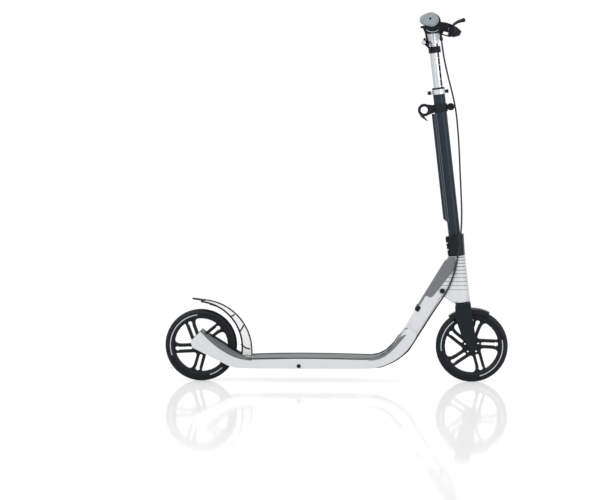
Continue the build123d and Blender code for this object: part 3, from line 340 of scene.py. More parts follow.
def softened(points, cuts):
    """A closed outline with some corners rounded: cuts gives how far each curve runs either way."""
    steps = 5
    line = []
    for n, point in enumerate(points):
        if n not in cuts:
            line.append(point)
            continue
        start = point + (points[n - 1] - point).normalized() * cuts[n][0]
        end = point + (points[(n + 1) % len(points)] - point).normalized() * cuts[n][1]
        for k in range(steps + 1):
            t = k / steps
            line.append(start * (1 - t) ** 2 + point * 2 * t * (1 - t) + end * t ** 2)
    return line


def loft(sections):
    """A closed skin through sections with the same number of points, capped at both ends."""
    shape = bmesh.new()
    rings = [[shape.verts.new(point) for point in section] for section in sections]
    for near, far in zip(rings, rings[1:]):
        for i, vert in enumerate(near):
            after = (i + 1) % len(near)
            shape.faces.new((vert, near[after], far[after], far[i]))
    shape.faces.new(rings[0])
    shape.faces.new(rings[-1][::-1])
    return shape


def copied(node):
    """A frame node's own mesh, merged, to be shaped further."""
    shape = bmesh.new()
    shape.from_mesh(frame["nodes"][node].data)
    bmesh.ops.remove_doubles(shape, verts=shape.verts, dist=1e-6)
    return shape


def cut_across(shape, places, along):
    """Cut a shape into slices, so that it can bend."""
    for place in places:
        everything = [*shape.verts, *shape.edges, *shape.faces]
        bmesh.ops.bisect_plane(shape, geom=everything, plane_co=place, plane_no=along, dist=1e-6)


def join(shapes):
    """Several shapes as one."""
    whole = bmesh.new()
    for shape in shapes:
        part = bpy.data.meshes.new("part")
        shape.to_mesh(part)
        shape.free()
        whole.from_mesh(part)
        bpy.data.meshes.remove(part)
    return whole


def cable_mesh(name, points, radius):
    """A smooth round cable along control points, as a mesh."""
    curve = bpy.data.curves.new(name + "_line", "CURVE")
    curve.dimensions = "3D"
    curve.bevel_depth = radius
    curve.bevel_resolution = 4
    curve.resolution_u = 10
    curve.use_fill_caps = True
    spline = curve.splines.new("NURBS")
    spline.points.add(len(points) - 1)
    for point, place in zip(spline.points, points):
        point.co = (*place, 1)
    spline.order_u = 3
    spline.use_endpoint_u = True
    holder = bpy.data.objects.new(name + "_line", curve)
    bpy.context.scene.collection.objects.link(holder)
    bpy.context.view_layer.update()
    mesh = bpy.data.meshes.new_from_object(holder)
    bpy.data.objects.remove(holder)
    mesh.name = name
    piece = bpy.data.objects.new(name, mesh)
    bpy.context.scene.collection.objects.link(piece)
    mesh.shade_smooth()
    return piece


# ---------------------------------------------------------------- operators


class SCOOTER_OT_wheels(bpy.types.Operator):
    """Tyres with grooves and sidewall ribs, rims with swept double spokes, axles and bearings"""

    bl_idname = "scooter.wheels"
    bl_label = "Wheels"

    def execute(self, context):
        rubber = grained("tyre_rubber", colours().tyre_black, 0.0012, (0.42, 0.58), 0.2)
        nylon = grained("rim_nylon", colours().nylon_black, 0.0009, (0.36, 0.5))
        steel = brushed("bright_steel", colours().steel)
        # Painted highlight for the rims' lips, drawn as pale arcs
        pale = Finish("painted_rim_highlight", Base_Color=(*colours().painted_rim_highlight, 1), Roughness=0.4)
        for end in ("front", "rear"):
            self.make_tyre(end, rubber)
            self.add_arcs(end, pale)
            self.make_rim(end, nylon)
            dress(f"{end}_tyre", rubber)
            dress(f"{end}_rim", nylon)
            for part in ("bearings", "spacers"):
                dress(f"{end}_{part}", steel)
        dress("rear_axle", steel)
        dark = smooth_black("axle_black", colours().nylon_black)
        dress("front_axle", dark)
        dress("front_axle_nut", dark)
        return {"FINISHED"}

    def make_tyre(self, end, rubber):
        """A cast tyre with two grooves round its tread and a rib on each side wall."""
        across = extent(f"{end}_tyre")
        outer = across.x / 2
        half = across.y / 2
        seat = extent(f"{end}_rim").x / 2 - 0.0006
        groove = sizes().tread_groove
        tread = [
            (outer, 0), (outer - 0.0001, half * 0.36), (outer - 0.0004, half * 0.4),
            (outer - groove * 1.6, half * 0.42), (outer - groove * 1.7, half * 0.47),
            (outer - 0.0007, half * 0.49), (outer - 0.0019, half * 0.66), (outer - 0.0045, half * 0.85),
            (outer - 0.0078, half * 0.975), (outer - 0.0098, half), (outer - 0.0104, half),
            (outer - 0.0107, half * 0.955), (outer - 0.0128, half * 0.945), (outer - 0.0133, half * 0.99),
            (seat + 0.0004, half * 0.975), (seat, half * 0.93),
        ]
        profile = tread[::-1] + [(r, -y) for r, y in tread[1:]]
        shape = turned(profile, middle(f"{end}_tyre"), sizes().spin_steps)
        finished(f"{end}_tyre_cast", shape, rubber, f"{end}_wheel", (f"{end}_tyre",), 28)

    # Where the pale arcs of painted highlight start and end, in degrees
    ARCS = {"front": ((126, 189), (285, 372)), "rear": ((97, 199), (287, 313))}

    def add_arcs(self, end, finish):
        """Thin pale arcs of painted highlight round both sides of the tyre's seat, where the rim's lip
        catches the light.
        """
        half = extent(f"{end}_tyre").y / 2
        half_width = 0.0013
        inner, outer = sizes().arc_radius - half_width, sizes().arc_radius + half_width
        arcs = []
        for start, stop in self.ARCS[end]:
            for side in (-1, 1):
                low, high = side * (half - 0.0034), side * (half + 0.0001)
                ring = [(inner, low), (inner, high), (outer, high), (outer, low)]
                arcs.append(arc_bar(ring, middle(f"{end}_rim"), radians(start), radians(stop), 48))
        finished(f"{end}_rim_arcs", join(arcs), finish, f"{end}_wheel")

    SPOKES = 5
    SPOKE_TURN = {"front": 6.5, "rear": 47.5}      # the first spoke's angle, in degrees

    def make_rim(self, end, nylon):
        """A cast rim: five swept double spokes between the hub and a chamfered ring."""
        centre = middle(f"{end}_rim")
        web_radius, bore_radius, web_half = 0.087, 0.0145, 0.0075
        loops = [[self.polar(web_radius, 2 * pi * n / 96) for n in range(96)]]
        loops.append([self.polar(bore_radius, 2 * pi * n / 32) for n in range(32)])
        for n in range(self.SPOKES):
            turn = radians(self.SPOKE_TURN[end]) + 2 * pi * n / self.SPOKES
            loops.append(self.window(turn, 2 * pi / self.SPOKES))
            for opening in (self.slot(), self.root_hole()):
                loops.append([self.on_spoke(turn, out, across) for out, across in opening])
        web = self.cast_plate(loops, centre, web_half)
        ring = [(0.0764, 0.009), (0.0788, 0.0117), (0.0795, 0.012), (0.0872, 0.012), (0.088, 0.0112)]
        hub = [(0.0112, 0.0108), (0.012, 0.012), (0.0145, 0.012), (0.0158, 0.0105), (0.0168, 0.007)]
        forms = [web]
        for half in (ring, hub):
            profile = half + [(r, -y) for r, y in half[::-1]]
            forms.append(turned(profile, centre, sizes().spin_steps))
        finished(f"{end}_rim_cast", join(forms), nylon, f"{end}_wheel", (f"{end}_rim",),
                 30)

    @staticmethod
    def polar(radius, angle):
        return Vector((radius * cos(angle), radius * sin(angle)))

    def on_spoke(self, turn, out, across):
        """A place on the spoke at an angle: along it, and across it from its middle line."""
        sweep, pivot = radians(9), 0.05
        angle = turn - sweep
        beside = pivot * sin(sweep) + across
        return Vector((out * cos(angle) - beside * sin(angle), out * sin(angle) + beside * cos(angle)))

    def window(self, turn, pitch):
        """The opening between a spoke and the next one, with rounded corners."""
        half, reach = 0.013, 0.0762
        near, far = [self.on_spoke(turn, out, half) for out in (0.02, 0.07)]
        next_near, next_far = [self.on_spoke(turn + pitch, out, -half) for out in (0.02, 0.07)]
        start, next_start = near - (far - near), next_near - (next_far - next_near)
        heart = intersect_line_line_2d(start, far, next_start, next_far)
        first = turn + radians(6.9)
        last = turn + pitch - radians(12.9)
        rim = [self.polar(reach, first + (last - first) * n / 5) for n in range(6)]
        return softened([heart, *rim], {0: (0.011, 0.011), 1: (0.004, 0.004), 6: (0.0135, 0.024)})

    def slot(self):
        """The slot along a spoke, wider at its outer end, as (along, across) points."""
        ends = ((0.0302, 0.0042, 90, 9), (0.0683, 0.0062, -135, 13))
        points = []
        for out, radius, first, count in ends:
            for n in range(count):
                angle = radians(first + 22.5 * n)
                points.append((out + radius * cos(angle), radius * sin(angle)))
        return points

    def root_hole(self):
        """The small oval hole at a spoke's root, as (along, across) points."""
        angles = [2 * pi * n / 12 for n in range(12)]
        return [(0.0183 + 0.0030 * cos(angle), 0.0027 * sin(angle)) for angle in angles]

    def cast_plate(self, loops, centre, half):
        """A plate with holes in the side view: the first loop is its outline."""
        shape = bmesh.new()
        edges = []
        for loop in loops:
            ring = [shape.verts.new((centre.x + p.x, centre.y - half, centre.z + p.y)) for p in loop]
            edges += [shape.edges.new((a, b)) for a, b in zip(ring, ring[1:] + ring[:1])]
        bmesh.ops.triangle_fill(shape, edges=edges, use_beauty=True)
        made = bmesh.ops.extrude_face_region(shape, geom=shape.faces[:])
        moved = [v for v in made["geom"] if isinstance(v, bmesh.types.BMVert)]
        bmesh.ops.translate(shape, verts=moved, vec=(0, 2 * half, 0))
        return shape


class SCOOTER_OT_deck(bpy.types.Operator):
    """Painted deck, its grip mat, the kickstand and the small steel parts"""

    bl_idname = "scooter.deck"
    bl_label = "Deck"

    def execute(self, context):
        dress("deck_frame", white_paint("deck_paint"))
        mat = Finish("grip_mat_rubber", Specular_IOR_Level=0.3)
        border_start = 0.0505
        border = mat.math("GREATER_THAN", mat.math("ABSOLUTE", mat.axes()[1]), border_start)
        mat.paint(colours().mat_grey, [(border, colours().nylon_black)], 0.1, 60).gloss(0.6, 0.75)
        mat.bump(mat.noise(1 / sizes().mat_grain, 2), 0.0003, 0.7)
        dress("grip_mat", mat, grained("mat_edge", colours().tyre_black))
        steel = brushed("deck_steel", colours().steel)
        black = smooth_black("deck_black", colours().nylon_black)
        for node in ("fold_bolt", "fender_pin"):
            dress(node, steel)
        for node in ("kickstand", "kickstand_bolt"):
            dress(node, black)
        dress("kickstand_foot", grained("foot_rubber", colours().tyre_black))
        self.add_mat_beads(grained("bead_rubber", colours().tyre_black))
        pad = grained("pad_cover", colours().pad_grey, 0.0012, (0.55, 0.7), 0.05)
        hem = grained("hem_cover", colours().mat_grey, 0.0012, (0.55, 0.7), 0.05)
        covers = (("arm_pad", self.arm_pad, pad), ("curve_hem", self.curve_hem, hem))
        for name, make, cover in covers:
            for hand, side in (("right", -1), ("left", 1)):
                finished(f"{name}_{hand}", make(side), cover, "deck", (), 50)
        return {"FINISHED"}

    # The hem's upper and lower edge at each place along it: (top x, top z, low x, low z)
    CURVE_HEM = (
        (0.09, 0.068, 0.09, 0.067), (0.1, 0.0683, 0.1015, 0.0656), (0.12, 0.0723, 0.1225, 0.0688),
        (0.1365, 0.0797, 0.1395, 0.0763), (0.15, 0.0897, 0.1535, 0.0865), (0.16, 0.1003, 0.1648, 0.0975),
        (0.17, 0.1146, 0.1765, 0.1105), (0.1787, 0.1275, 0.1868, 0.1225), (0.1885, 0.133, 0.1935, 0.1305),
        (0.1985, 0.1372, 0.199, 0.1368),
    )

    def curve_hem(self, side):
        """The mat's hem, turned down over one side of the deck's front curve."""
        return loft([self.hem_section(side, *station) for station in self.CURVE_HEM])

    def hem_section(self, side, top_x, top_z, low_x, low_z):
        """The hem's section at one place along it, on a flank that narrows towards the neck."""
        top, low = Vector((top_x, 0, top_z)), Vector((low_x, 0, low_z))
        outward = (top - low).normalized()
        across_and_lift = (
            (low, 0.0009, 0), (top, 0.0009, 0.0006), (top, -0.0005, 0.0021), (top, -0.0042, 0.0021),
            (top, -0.0042, -0.002), (low, -0.0012, 0),
        )
        points = []
        for place, beyond, lift in across_and_lift:
            face = max(0.0542 - 0.285 * (place.x - 0.1), 0.0382 - 0.05 * (place.x - 0.17))
            points.append(place + outward * lift + ACROSS * side * (face + beyond))
        return points

    def add_mat_beads(self, finish):
        """A thin upstand along both edges of the mat, over the deck and up its front curve."""
        top, width = 0.0685, 0.0016
        beads = []
        for side in (-1, 1):
            runs = []
            for x, across, up, proud in self.BEAD_RUN:
                out, back = side * across, side * (across - width)
                foot, crest = top + up - proud, top + up + proud
                runs.append([(x, out, foot), (x, out, crest), (x, back, crest), (x, back, foot)])
            beads.append(loft(runs))
        piece = finished("mat_beads", join(beads), finish, "deck", ())
        piece.data.materials.append(frame["nodes"]["grip_mat"].data.materials[0])
        for face in piece.data.polygons:
            face.material_index = 1 if face.normal.y * face.center.y > 0.04 else 0

    # The bead at each place along it: (x, across, height above the mat's plane, half height)
    BEAD_RUN = (
        (-0.252, 0.0575, 0.0, 0.0016), (-0.22, 0.0605, 0.0012, 0.0014), (-0.16, 0.0608, 0.0029, 0.0014),
        (-0.1, 0.0608, 0.0035, 0.0014), (-0.02, 0.0608, 0.0028, 0.0014), (0.06, 0.0605, 0.0013, 0.0014),
        (0.082, 0.057, 0.001, 0.0014), (0.1, 0.0505, 0.0012, 0.0016), (0.121, 0.0425, 0.0052, 0.0024),
        (0.141, 0.038, 0.0148, 0.0032), (0.161, 0.0355, 0.0336, 0.004), (0.181, 0.034, 0.055, 0.004),
    )

    PAD_TAIL, PAD_TOE = -0.386, -0.238      # rear and front end of the pads

    def arm_pad(self, side):
        """A moulded rubber pad on one rear arm, from its outer face over the ridge by the wheel."""
        steps = 24
        return loft([self.pad_section(side, n / steps) for n in range(steps + 1)])

    def pad_section(self, side, share):
        """The pad's section at a share of its length, counted from its front end."""
        x = self.PAD_TOE + (self.PAD_TAIL - self.PAD_TOE) * share
        deck_top, slot = 0.0672, 0.0222
        hem = deck_top - 0.0012 + 0.0803 * share ** 2.1
        ridge = deck_top + 0.0018 + (0.0755 - 0.085 * (1 - share) ** 3) * share
        face = 0.0010 + max(0.038 + 0.0545 * (x + 0.4258), 0.044 + 0.2105 * (x + 0.3158))
        brow = hem + (ridge - hem) * 0.72
        across_and_up = (
            (face, hem - 0.0004), (face, hem), (face - 0.0009, brow - 0.0006),
            (face - 0.0035, brow + 0.0006), (face * 0.45 + slot * 0.55, ridge), (slot, ridge),
            (slot, ridge - 0.012), (slot + 0.004, hem - 0.006), (face - 0.003, hem - 0.003),
        )
        return [(x, side * y, z) for y, z in across_and_up]


class SCOOTER_OT_fender(bpy.types.Operator):
    """Rear fender, its catch and its brake pad"""

    bl_idname = "scooter.fender"
    bl_label = "Fender"

    def execute(self, context):
        paint = white_paint("fender_paint", colours().panel_white)
        black = grained("catch_nylon", colours().nylon_black)
        lip = grained("fender_nylon", colours().tyre_black, 0.0009, (0.6, 0.75), 0.1, 0.06)
        dress("fender", lip, paint)
        self.paint_top()
        dress("fender_catch", black)
        dress("brake_pad", grained("pad_rubber", colours().tyre_black))
        self.add_edging(black)
        self.add_seams(black)
        return {"FINISHED"}

    def paint_top(self):
        """The top is painted like the sides, up to the dark lip at the tip."""
        axle = middle("rear_rim")
        lip_length = 0.013
        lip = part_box("fender")[0].x + lip_length
        for face in frame["nodes"]["fender"].data.polygons:
            if face.center.x > lip and face.normal.dot(face.center - axle) > 0:
                face.material_index = 1

    def add_edging(self, finish):
        """A dark rib along the crest, and a dark bead along the inner edge of both sides."""
        axle = middle("rear_rim")
        outer = axle + Vector((-0.0023, 0, -0.0176))
        inner = axle + Vector((-0.0117, 0, -0.0038))
        beads = []
        for side in (-1, 1):
            near, far = side * 0.0192, side * 0.0203
            broad = [(0.1276, near), (0.1276, far), (0.1324, far), (0.1324, near)]
            beads.append(arc_bar(broad, inner, radians(-9.8), radians(84.5)))
        crest = [(0.1435, -0.0024), (0.1435, 0.0024), (0.1488, 0.0016), (0.1488, -0.0016)]
        beads.append(arc_bar(crest, outer, radians(-3), radians(86)))
        finished("fender_edging", join(beads), finish, "fender", ())

    def add_seams(self, finish):
        """Thin dark seams: one across each side, and a frame round each lower panel."""
        lines = [
            ((-0.303, 0.184), (-0.2887, 0.191)),
            ((-0.263, 0.161), (-0.2745, 0.1412)),
            ((-0.2716, 0.107), (-0.2574, 0.0957)),
            ((-0.2574, 0.0957), (-0.2446, 0.0928)),
        ]
        half_width, low, high = 0.002, 0.0195, 0.02025
        seams = []
        for (x0, z0), (x1, z1) in lines:
            along = Vector((x1 - x0, z1 - z0)).normalized() * half_width
            corners = [(x0 - along.y, z0 + along.x), (x0 + along.y, z0 - along.x),
                       (x1 + along.y, z1 - along.x), (x1 - along.y, z1 + along.x)]
            seams.append(plate(corners, -high, -low))
            seams.append(plate(corners, low, high))
        finished("fender_seams", join(seams), finish, "fender", ())


class SCOOTER_OT_neck(bpy.types.Operator):
    """Painted neck with fine pinstripes on the head, and its grey cover"""

    bl_idname = "scooter.neck"
    bl_label = "Neck"

    def execute(self, context):
        paint = white_paint("neck_paint")
        _, y, z = paint.axes()
        first, last, count = 0.004, 0.11, 11
        drop = paint.math("SUBTRACT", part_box("neck_frame")[1].z, z)
        share = paint.math("DIVIDE", drop, last)
        crowding = paint.math("POWER", paint.math("MAXIMUM", share, 0.0), 0.8)
        wave = paint.math("FRACT", paint.math("MULTIPLY", crowding, count))
        width = paint.math("MULTIPLY_ADD", share, -0.34, 0.44)
        stripes = paint.math("LESS_THAN", wave, width)
        sideways = paint.math("GREATER_THAN", paint.math("ABSOLUTE", y), 0.012)
        inside = paint.between(drop, first, last)
        mask = paint.math("MULTIPLY", paint.math("MULTIPLY", stripes, inside), sideways)
        paint.paint(colours().white_paint, [(mask, colours().pinstripe)], 0.018, 7)
        dress("neck_frame", paint)
        dress("neck_cover", grained("cover_rubber", colours().mat_grey, 0.0012, (0.5, 0.65)))
        dress("neck_buffer", grained("buffer_rubber", colours().tyre_black))
        dress("headset_bearings", brushed("headset_steel", colours().steel))
        dress("fold_bushes", grained("bush_nylon", colours().nylon_black))
        dress("fold_button", grained("button_nylon", colours().nylon_black))
        return {"FINISHED"}


class SCOOTER_OT_column(bpy.types.Operator):
    """Fork, steering column, clamp, carry hook and height collar"""

    bl_idname = "scooter.column"
    bl_label = "Fork and column"

    def execute(self, context):
        black = smooth_black("fork_paint", colours().fork_black)
        column = smooth_black("column_paint", colours().column_blue_black, (0.25, 0.36))
        nylon = grained("column_nylon", colours().nylon_black)
        bright = brushed("column_aluminium", colours().aluminium)
        dark_steel = smooth_black("dark_steel", colours().nylon_black, (0.2, 0.3))
        finishes = {
            black: ("fork",),
            column: ("stem_tube",),
            nylon: ("carry_hook", "tube_shim", "height_button"),
            bright: ("height_collar", "height_lever"),
            dark_steel: ("hook_screw", "collar_skewer"),
        }
        for finish, nodes in finishes.items():
            for node in nodes:
                dress(node, finish)
        dress("stem_fairing", self.grooved_paint())
        self.make_clamp(black, dark_steel)
        self.make_mudguard(smooth_black("mudguard_black", colours().nylon_black, (0.2, 0.3)))
        return {"FINISHED"}

    def make_clamp(self, finish, screw_finish):
        """The clamp round the column's foot, with slim ears behind it, and its screws."""
        back, front, height, ear_reach, screw_shift = 0.017, 0.018, 0.06, 0.0155, 0.0052
        band = copied("head_clamp")
        cut_across(band, [on_column(0, 0, up) for up in (2, 51, 54)], COLUMN_UP)
        for vert in band.verts:
            foot = vert.co - COLUMN_FOOT
            ahead, up = foot.dot(COLUMN_AHEAD), foot.dot(COLUMN_UP)
            share = min(max(up / height, 0), 1)
            if ahead < -back:
                edge = 0.0072 + 0.0028 * share - 0.35 * max(up - 0.0505, 0)
                moved = -back + (ahead + back) * edge / ear_reach
            elif ahead > front:
                moved = front + (ahead - front) * (0.5 + 0.26 * share)
            else:
                continue
            vert.co += COLUMN_AHEAD * (moved - ahead)
        finished("head_clamp_band", band, finish, "steerer", ("head_clamp",))
        screws = copied("clamp_bolts")
        bmesh.ops.translate(screws, verts=screws.verts, vec=COLUMN_AHEAD * screw_shift)
        finished("head_clamp_screws", screws, screw_finish, "steerer", ("clamp_bolts",))

    def make_mudguard(self, finish):
        """A short mudguard over the front tyre, with rounded shoulders and skirts down its sides."""
        skin = [
            (0.1092, 0.0), (0.109, 0.009), (0.108, 0.0145), (0.1055, 0.0178), (0.101, 0.0187),
            (0.094, 0.0187), (0.094, 0.0168), (0.1025, 0.0168), (0.1052, 0.0155),
            (0.1064, 0.012), (0.107, 0.006), (0.107, 0.0),
        ]
        ring = skin + [(r, -y) for r, y in skin[-2:0:-1]]
        shape = arc_bar(ring, middle("front_rim"), radians(62.5), radians(128), 48)
        finished("front_mudguard_shell", shape, finish, "steerer", ("front_mudguard",),
                 40)

    def grooved_paint(self):
        """The column's paint, with painted highlights: two lighter stripes in the grooves along each side,
        where the grooves catch the light.
        """
        paint = smooth_black("fairing_paint", colours().column_blue_black, (0.25, 0.36))
        ahead = column_ahead(paint)
        # Painted highlight: the two grooves on each side are drawn lighter where they catch the light
        deep = paint.between(paint.math("ABSOLUTE", paint.axes()[1]), 0.011, 0.0131)
        front = paint.between(ahead, -0.0143, -0.0121)
        rear = paint.between(ahead, -0.0197, -0.0175)
        groove_highlight = paint.math("MULTIPLY", paint.math("ADD", front, rear), deep)
        highlight_grey = (0.16, 0.18, 0.2)
        return paint.paint(colours().column_blue_black, [(groove_highlight, highlight_grey)], 0.08, 11)


class SCOOTER_OT_bar(bpy.types.Operator):
    """Height tube, bar head, handlebar and grips"""

    bl_idname = "scooter.bar"
    bl_label = "Handlebar"

    def execute(self, context):
        bright = brushed("bar_aluminium", colours().aluminium)
        for node in ("bar_head", "handlebar", "bar_skewer"):
            dress(node, bright)
        dress("bar_tube", self.tube_with_dark_reflection())
        nylon = grained("collar_nylon", colours().nylon_black)
        for node in ("bar_collar", "bar_clamp", "bar_lever"):
            dress(node, nylon)
        dress("clamp_screws", smooth_black("screw_black", colours().nylon_black))
        # Painted highlight on both ends of the bar clamp
        self.add_clamp_highlight(bright)
        self.add_lever_arm(nylon)
        rubber = grained("grip_rubber", colours().grip_grey, 0.0015, (0.5, 0.66))
        for node in ("grip_right", "grip_left"):
            dress(node, rubber)
        return {"FINISHED"}

    def add_clamp_highlight(self, finish):
        """A painted highlight: a bright crescent on each end of the bar clamp, under the bar, where the
        clamp's edge catches the light.
        """
        centre = on_column(4, 0, 667)
        arcs = []
        for side in (-1, 1):
            near, far = side * 0.0206, side * 0.0215
            ring = [(0.0298, near), (0.0298, far), (0.0314, far), (0.0314, near)]
            arcs.append(arc_bar(ring, centre, radians(236), radians(306), 24))
        finished("clamp_painted_highlight", join(arcs), finish, "tbar", ())

    def add_lever_arm(self, finish):
        """The long arm of the clamp lever, lying up along the right side of the clamp."""
        outer, inner, boss_end, boss_radius = -0.0248, -0.0215, -0.0172, 0.0042
        side = [
            (-27, 657), (-21.5, 657.5), (-15.5, 638), (-13.5, 622),
            (-12, 601), (-16, 596), (-20, 608), (-20.5, 634),
        ]
        points = [on_column(ahead, 0, up) for ahead, up in side]
        arm = plate([(p.x, p.z) for p in points], outer, inner)
        profile = [(0.0, outer), (boss_radius, outer), (boss_radius, boss_end), (0.0, boss_end)]
        boss = turned(profile, on_column(-19, 0, 611), 24, False)
        finished("bar_lever_arm", join([arm, boss]), finish, "bar_lever", ())

    def tube_with_dark_reflection(self):
        """Bright tube with a painted dark reflection: a dark strip down its front, broken by thin bright
        ticks.
        """
        tube = brushed("tube_aluminium", colours().aluminium)
        reflection_start, ticks_per_metre, tick_share = 0.0075, 50, 0.08
        # Painted dark reflection down the tube's front, in nylon black
        dark_reflection = tube.math("GREATER_THAN", column_ahead(tube), reflection_start)
        step = tube.math("FRACT", tube.math("MULTIPLY", tube.axes()[2], ticks_per_metre))
        ticks = tube.math("LESS_THAN", step, tick_share)
        dark = tube.math("MULTIPLY", dark_reflection, tube.math("SUBTRACT", 1.0, ticks))
        return tube.paint(colours().aluminium, [(dark, colours().nylon_black)], 0.03, 12)


class SCOOTER_OT_brake(bpy.types.Operator):
    """Brake bracket and lever"""

    bl_idname = "scooter.brake"
    bl_label = "Hand brake"

    def execute(self, context):
        black = smooth_black("brake_paint", colours().fork_black)
        steel = brushed("brake_steel", colours().steel)
        dress("brake_bracket", black)
        self.make_blade(black)
        dress("lever_pin", steel)
        dress("barrel_adjuster", black)
        return {"FINISHED"}

    def make_blade(self, finish):
        """The lever, whose blade leaves its root in a short bend and then runs out level."""
        root, tip = -0.108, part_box("brake_lever")[0].y
        blade = copied("brake_lever")
        slices, bend, back, rise, fall = 24, 0.016, -0.0102, 0.0042, 0.0098
        places = [Vector((0, root + (tip - root) * n / slices, 0)) for n in range(slices)]
        cut_across(blade, places, ACROSS)
        for vert in blade.verts:
            out = min(max((root - vert.co.y) / bend, 0), 1)
            share = min(max((vert.co.y - root) / (tip - root), 0), 1)
            swell = out * out * (3 - 2 * out)
            vert.co += Vector((back, 0, rise - fall * share)) * swell
        finished("brake_blade", blade, finish, "brake_lever", ("brake_lever",))


class SCOOTER_OT_cable(bpy.types.Operator):
    """The brake cable from the lever to the rear fender"""

    bl_idname = "scooter.cable"
    bl_label = "Brake cable"

    def execute(self, context):
        cover = Finish("cable_cover", Coat_Weight=0.2, Coat_Roughness=0.25)
        cover.paint(colours().nylon_black, mottle=0.1, scale=30).gloss(0.3, 0.45)
        cover.bump(cover.noise(500, 2), 0.00005, 0.4)
        dress("cable_deck", cover)
        bar_run = [on_column(*p) for p in self.BAR_RUN]
        head_run = [on_column(*p) for p in self.HEAD_RUN]
        neck_run = [on_neck(*p) for p in self.NECK_RUN]
        under_run = [self.under_curve(*p) for p in self.CURVE_RUN]
        route = bar_run + head_run + neck_run + under_run
        # The last corner of each length: above the clamp, on the neck, and at the fold
        clamp = len(bar_run) - 2
        neck = clamp + len(head_run) + 3
        fold = neck + len(neck_run) - 2
        self.lay("upper", route[:clamp + 1], None, route[clamp + 1], cover, "tbar", "steerer")
        self.lay("head", route[clamp + 1:neck + 1], route[clamp], route[neck + 1], cover, "steerer", "neck")
        self.lay("fold", route[neck + 1:fold + 1], route[neck], route[fold + 1], cover, "neck", "deck")
        return {"FINISHED"}

    # The cable's corners in millimetres: on the column, on the neck, and round the deck's curve
    BAR_RUN = [
        (22.5, -74, 610), (23.2, -72.5, 580), (25.4, -64, 547), (30.5, -50, 505), (37, -35, 462),
        (42.2, -22, 415), (42.4, -14, 360), (39.5, -10, 296), (35.2, -8.5, 236), (31.6, -9, 176),
        (27.6, -11.5, 122), (22.3, -15.2, 82), (15.2, -21.2, 46),
    ]
    HEAD_RUN = [(6.8, -26.4, 16), (-1.2, -27.4, -14), (-11.5, -26.6, -44)]
    NECK_RUN = [
        (203, 3.6, -24.8), (174, 8.4, -24.8), (146, 8, -24.6), (119, 7.2, -21.4), (88, 7, -18.8),
        (52, 7.1, -18.5), (10, 7, -18.4),
    ]
    CURVE_RUN = [(9.5, 9.5), (28, 9), (46.4, 9)]

    def under_curve(self, back, half_turn):
        """A corner of the route round the deck's front curve, by its angle behind the neck's slope."""
        bend, low, ahead, across, slack = 0.15, 0.0425, 0.0042, -0.0185, 0.0028
        along = (low - FOLD.z + ahead * cos(NECK_SLOPE)) / sin(NECK_SLOPE)
        corner = FOLD + NECK_ALONG * along + NECK_AHEAD * ahead
        centre = Vector((corner.x - bend * tan(NECK_SLOPE / 2), across, low + bend))
        reach = (bend + slack) / cos(radians(half_turn))
        angle = NECK_SLOPE - radians(back)
        return centre + Vector((sin(angle), 0, -cos(angle))) * reach

    def lay(self, name, corners, before, after, cover, top_body, low_body):
        """One length of cable between the middles of two runs; the two bodies that it is given are not
        used.
        """
        start = corners[0] if before is None else (before + corners[0]) / 2
        inside = corners[1:] if before is None else corners
        end = (corners[-1] + after) / 2
        piece = cable_mesh(f"cable_{name}_line", [start, *inside, end], sizes().cable_radius)
        piece.data.materials.clear()
        piece.data.materials.append(cover.material)
        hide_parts(f"cable_{name}")
        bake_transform(piece)


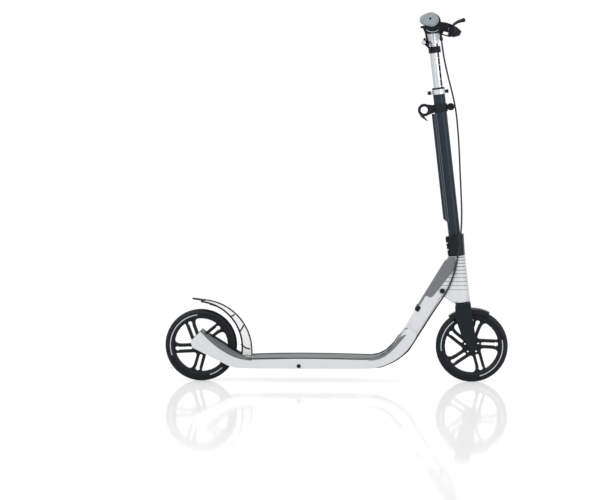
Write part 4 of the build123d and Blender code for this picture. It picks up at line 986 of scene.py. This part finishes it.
class SCOOTER_OT_stage(bpy.types.Operator):
    """Pale floor, soft lamps and the camera"""

    bl_idname = "scooter.stage"
    bl_label = "Stage"

    def execute(self, context):
        self.make_floor()
        self.light_world()
        self.add_lamp("key", (-1.6, -2.6, 2.6), 2.2, 46)
        self.add_lamp("fill", (2.6, -2.2, 1.3), 2.0, 24)
        self.add_lamp("top", (0.0, 0.3, 3.2), 2.4, 30)
        self.add_camera()
        bpy.context.scene.view_settings.view_transform = "Standard"
        return {"FINISHED"}

    def make_floor(self):
        """A wide glossy floor that glows a little towards the camera, up to white."""
        reach, glow_strength, glow_share = 60, 1.34, 0.38
        shape = bmesh.new()
        bmesh.ops.create_grid(shape, x_segments=1, y_segments=1, size=reach)
        mesh = bpy.data.meshes.new("studio_floor")
        shape.to_mesh(mesh)
        shape.free()
        floor = bpy.data.objects.new("studio_floor", mesh)
        bpy.context.scene.collection.objects.link(floor)
        finish = Finish("floor_white", Base_Color=(*colours().floor, 1), Roughness=0.07,
                        Specular_IOR_Level=0.35)
        seen = finish.add("ShaderNodeLightPath").outputs["Is Camera Ray"]
        glow = finish.add("ShaderNodeEmission", {"Strength": glow_strength})
        mixed = finish.add("ShaderNodeMixShader", {0: finish.math("MULTIPLY", seen, glow_share)})
        finish.links.new(finish.shader.outputs[0], mixed.inputs[1])
        finish.links.new(glow.outputs[0], mixed.inputs[2])
        finish.links.new(mixed.outputs[0], finish.nodes["Material Output"].inputs["Surface"])
        mesh.materials.append(finish.material)

    def light_world(self):
        """A white world to the camera and in reflections, at half strength as light."""
        world = bpy.data.worlds.new("studio")
        world.use_nodes = True
        nodes = world.node_tree.nodes
        links = world.node_tree.links
        back = nodes["Background"]
        path = nodes.new("ShaderNodeLightPath")
        shown = nodes.new("ShaderNodeMath")
        shown.operation = "MAXIMUM"
        links.new(path.outputs["Is Camera Ray"], shown.inputs[0])
        links.new(path.outputs["Is Glossy Ray"], shown.inputs[1])
        level = nodes.new("ShaderNodeMapRange")
        level.inputs["To Min"].default_value = 0.5
        level.inputs["To Max"].default_value = 1.0
        links.new(shown.outputs[0], level.inputs["Value"])
        links.new(level.outputs["Result"], back.inputs["Strength"])
        back.inputs["Color"].default_value = (1, 1, 1, 1)
        bpy.context.scene.world = world

    def add_lamp(self, name, place, width, power):
        """A soft round lamp that points at the scooter's middle."""
        lamp = bpy.data.lights.new(name, "AREA")
        lamp.shape = "DISK"
        lamp.size = width
        lamp.energy = power
        holder = bpy.data.objects.new(name, lamp)
        holder.location = place
        aim = Vector((0, 0, 0.45)) - Vector(place)
        holder.rotation_euler = aim.to_track_quat("-Z", "Y").to_euler()
        bpy.context.scene.collection.objects.link(holder)

    def add_camera(self):
        """The camera on the scooter's right side, turned and tilted down a little."""
        data = bpy.data.cameras.new("camera")
        camera = bpy.data.objects.new("camera", data)
        span = sizes().view_width
        data.sensor_width = 36
        place = Vector((sizes().eye_forward, -sizes().eye_distance, sizes().eye_height))
        aim = Vector((-0.1036, 0, 0.3747)) - place
        data.lens = data.sensor_width * aim.length / span
        camera.location = place
        camera.rotation_euler = aim.to_track_quat("-Z", "Y").to_euler()
        data.clip_end = 200
        bpy.context.scene.collection.objects.link(camera)
        bpy.context.scene.camera = camera


class SCOOTER_PT_panel(bpy.types.Panel):
    """Lists the scooter's pieces"""

    bl_idname = "SCOOTER_PT_panel"
    bl_label = "Kick scooter"
    bl_space_type = "VIEW_3D"
    bl_region_type = "UI"
    bl_category = "Scooter"

    def draw(self, context):
        column = self.layout.column()
        for operator in OPERATORS:
            column.operator(operator.bl_idname)
        for group in (context.scene.scooter_sizes, context.scene.scooter_colours):
            for name in group.__annotations__:
                column.prop(group, name)


OPERATORS = (
    SCOOTER_OT_wheels,
    SCOOTER_OT_deck,
    SCOOTER_OT_fender,
    SCOOTER_OT_neck,
    SCOOTER_OT_column,
    SCOOTER_OT_bar,
    SCOOTER_OT_brake,
    SCOOTER_OT_cable,
    SCOOTER_OT_stage,
)
CLASSES = (ScooterSizes, ScooterColours, *OPERATORS, SCOOTER_PT_panel)


def register():
    for cls in CLASSES:
        bpy.utils.register_class(cls)
    bpy.types.Scene.scooter_sizes = PointerProperty(type=ScooterSizes)
    bpy.types.Scene.scooter_colours = PointerProperty(type=ScooterColours)


def unregister():
    del bpy.types.Scene.scooter_colours
    del bpy.types.Scene.scooter_sizes
    for cls in reversed(CLASSES):
        bpy.utils.unregister_class(cls)


def main():
    register()
    bpy.ops.scooter.wheels()
    bpy.ops.scooter.deck()
    bpy.ops.scooter.fender()
    bpy.ops.scooter.neck()
    bpy.ops.scooter.column()
    bpy.ops.scooter.bar()
    bpy.ops.scooter.brake()
    bpy.ops.scooter.cable()
    bpy.ops.scooter.stage()


if __name__ == "__main__":
    main()
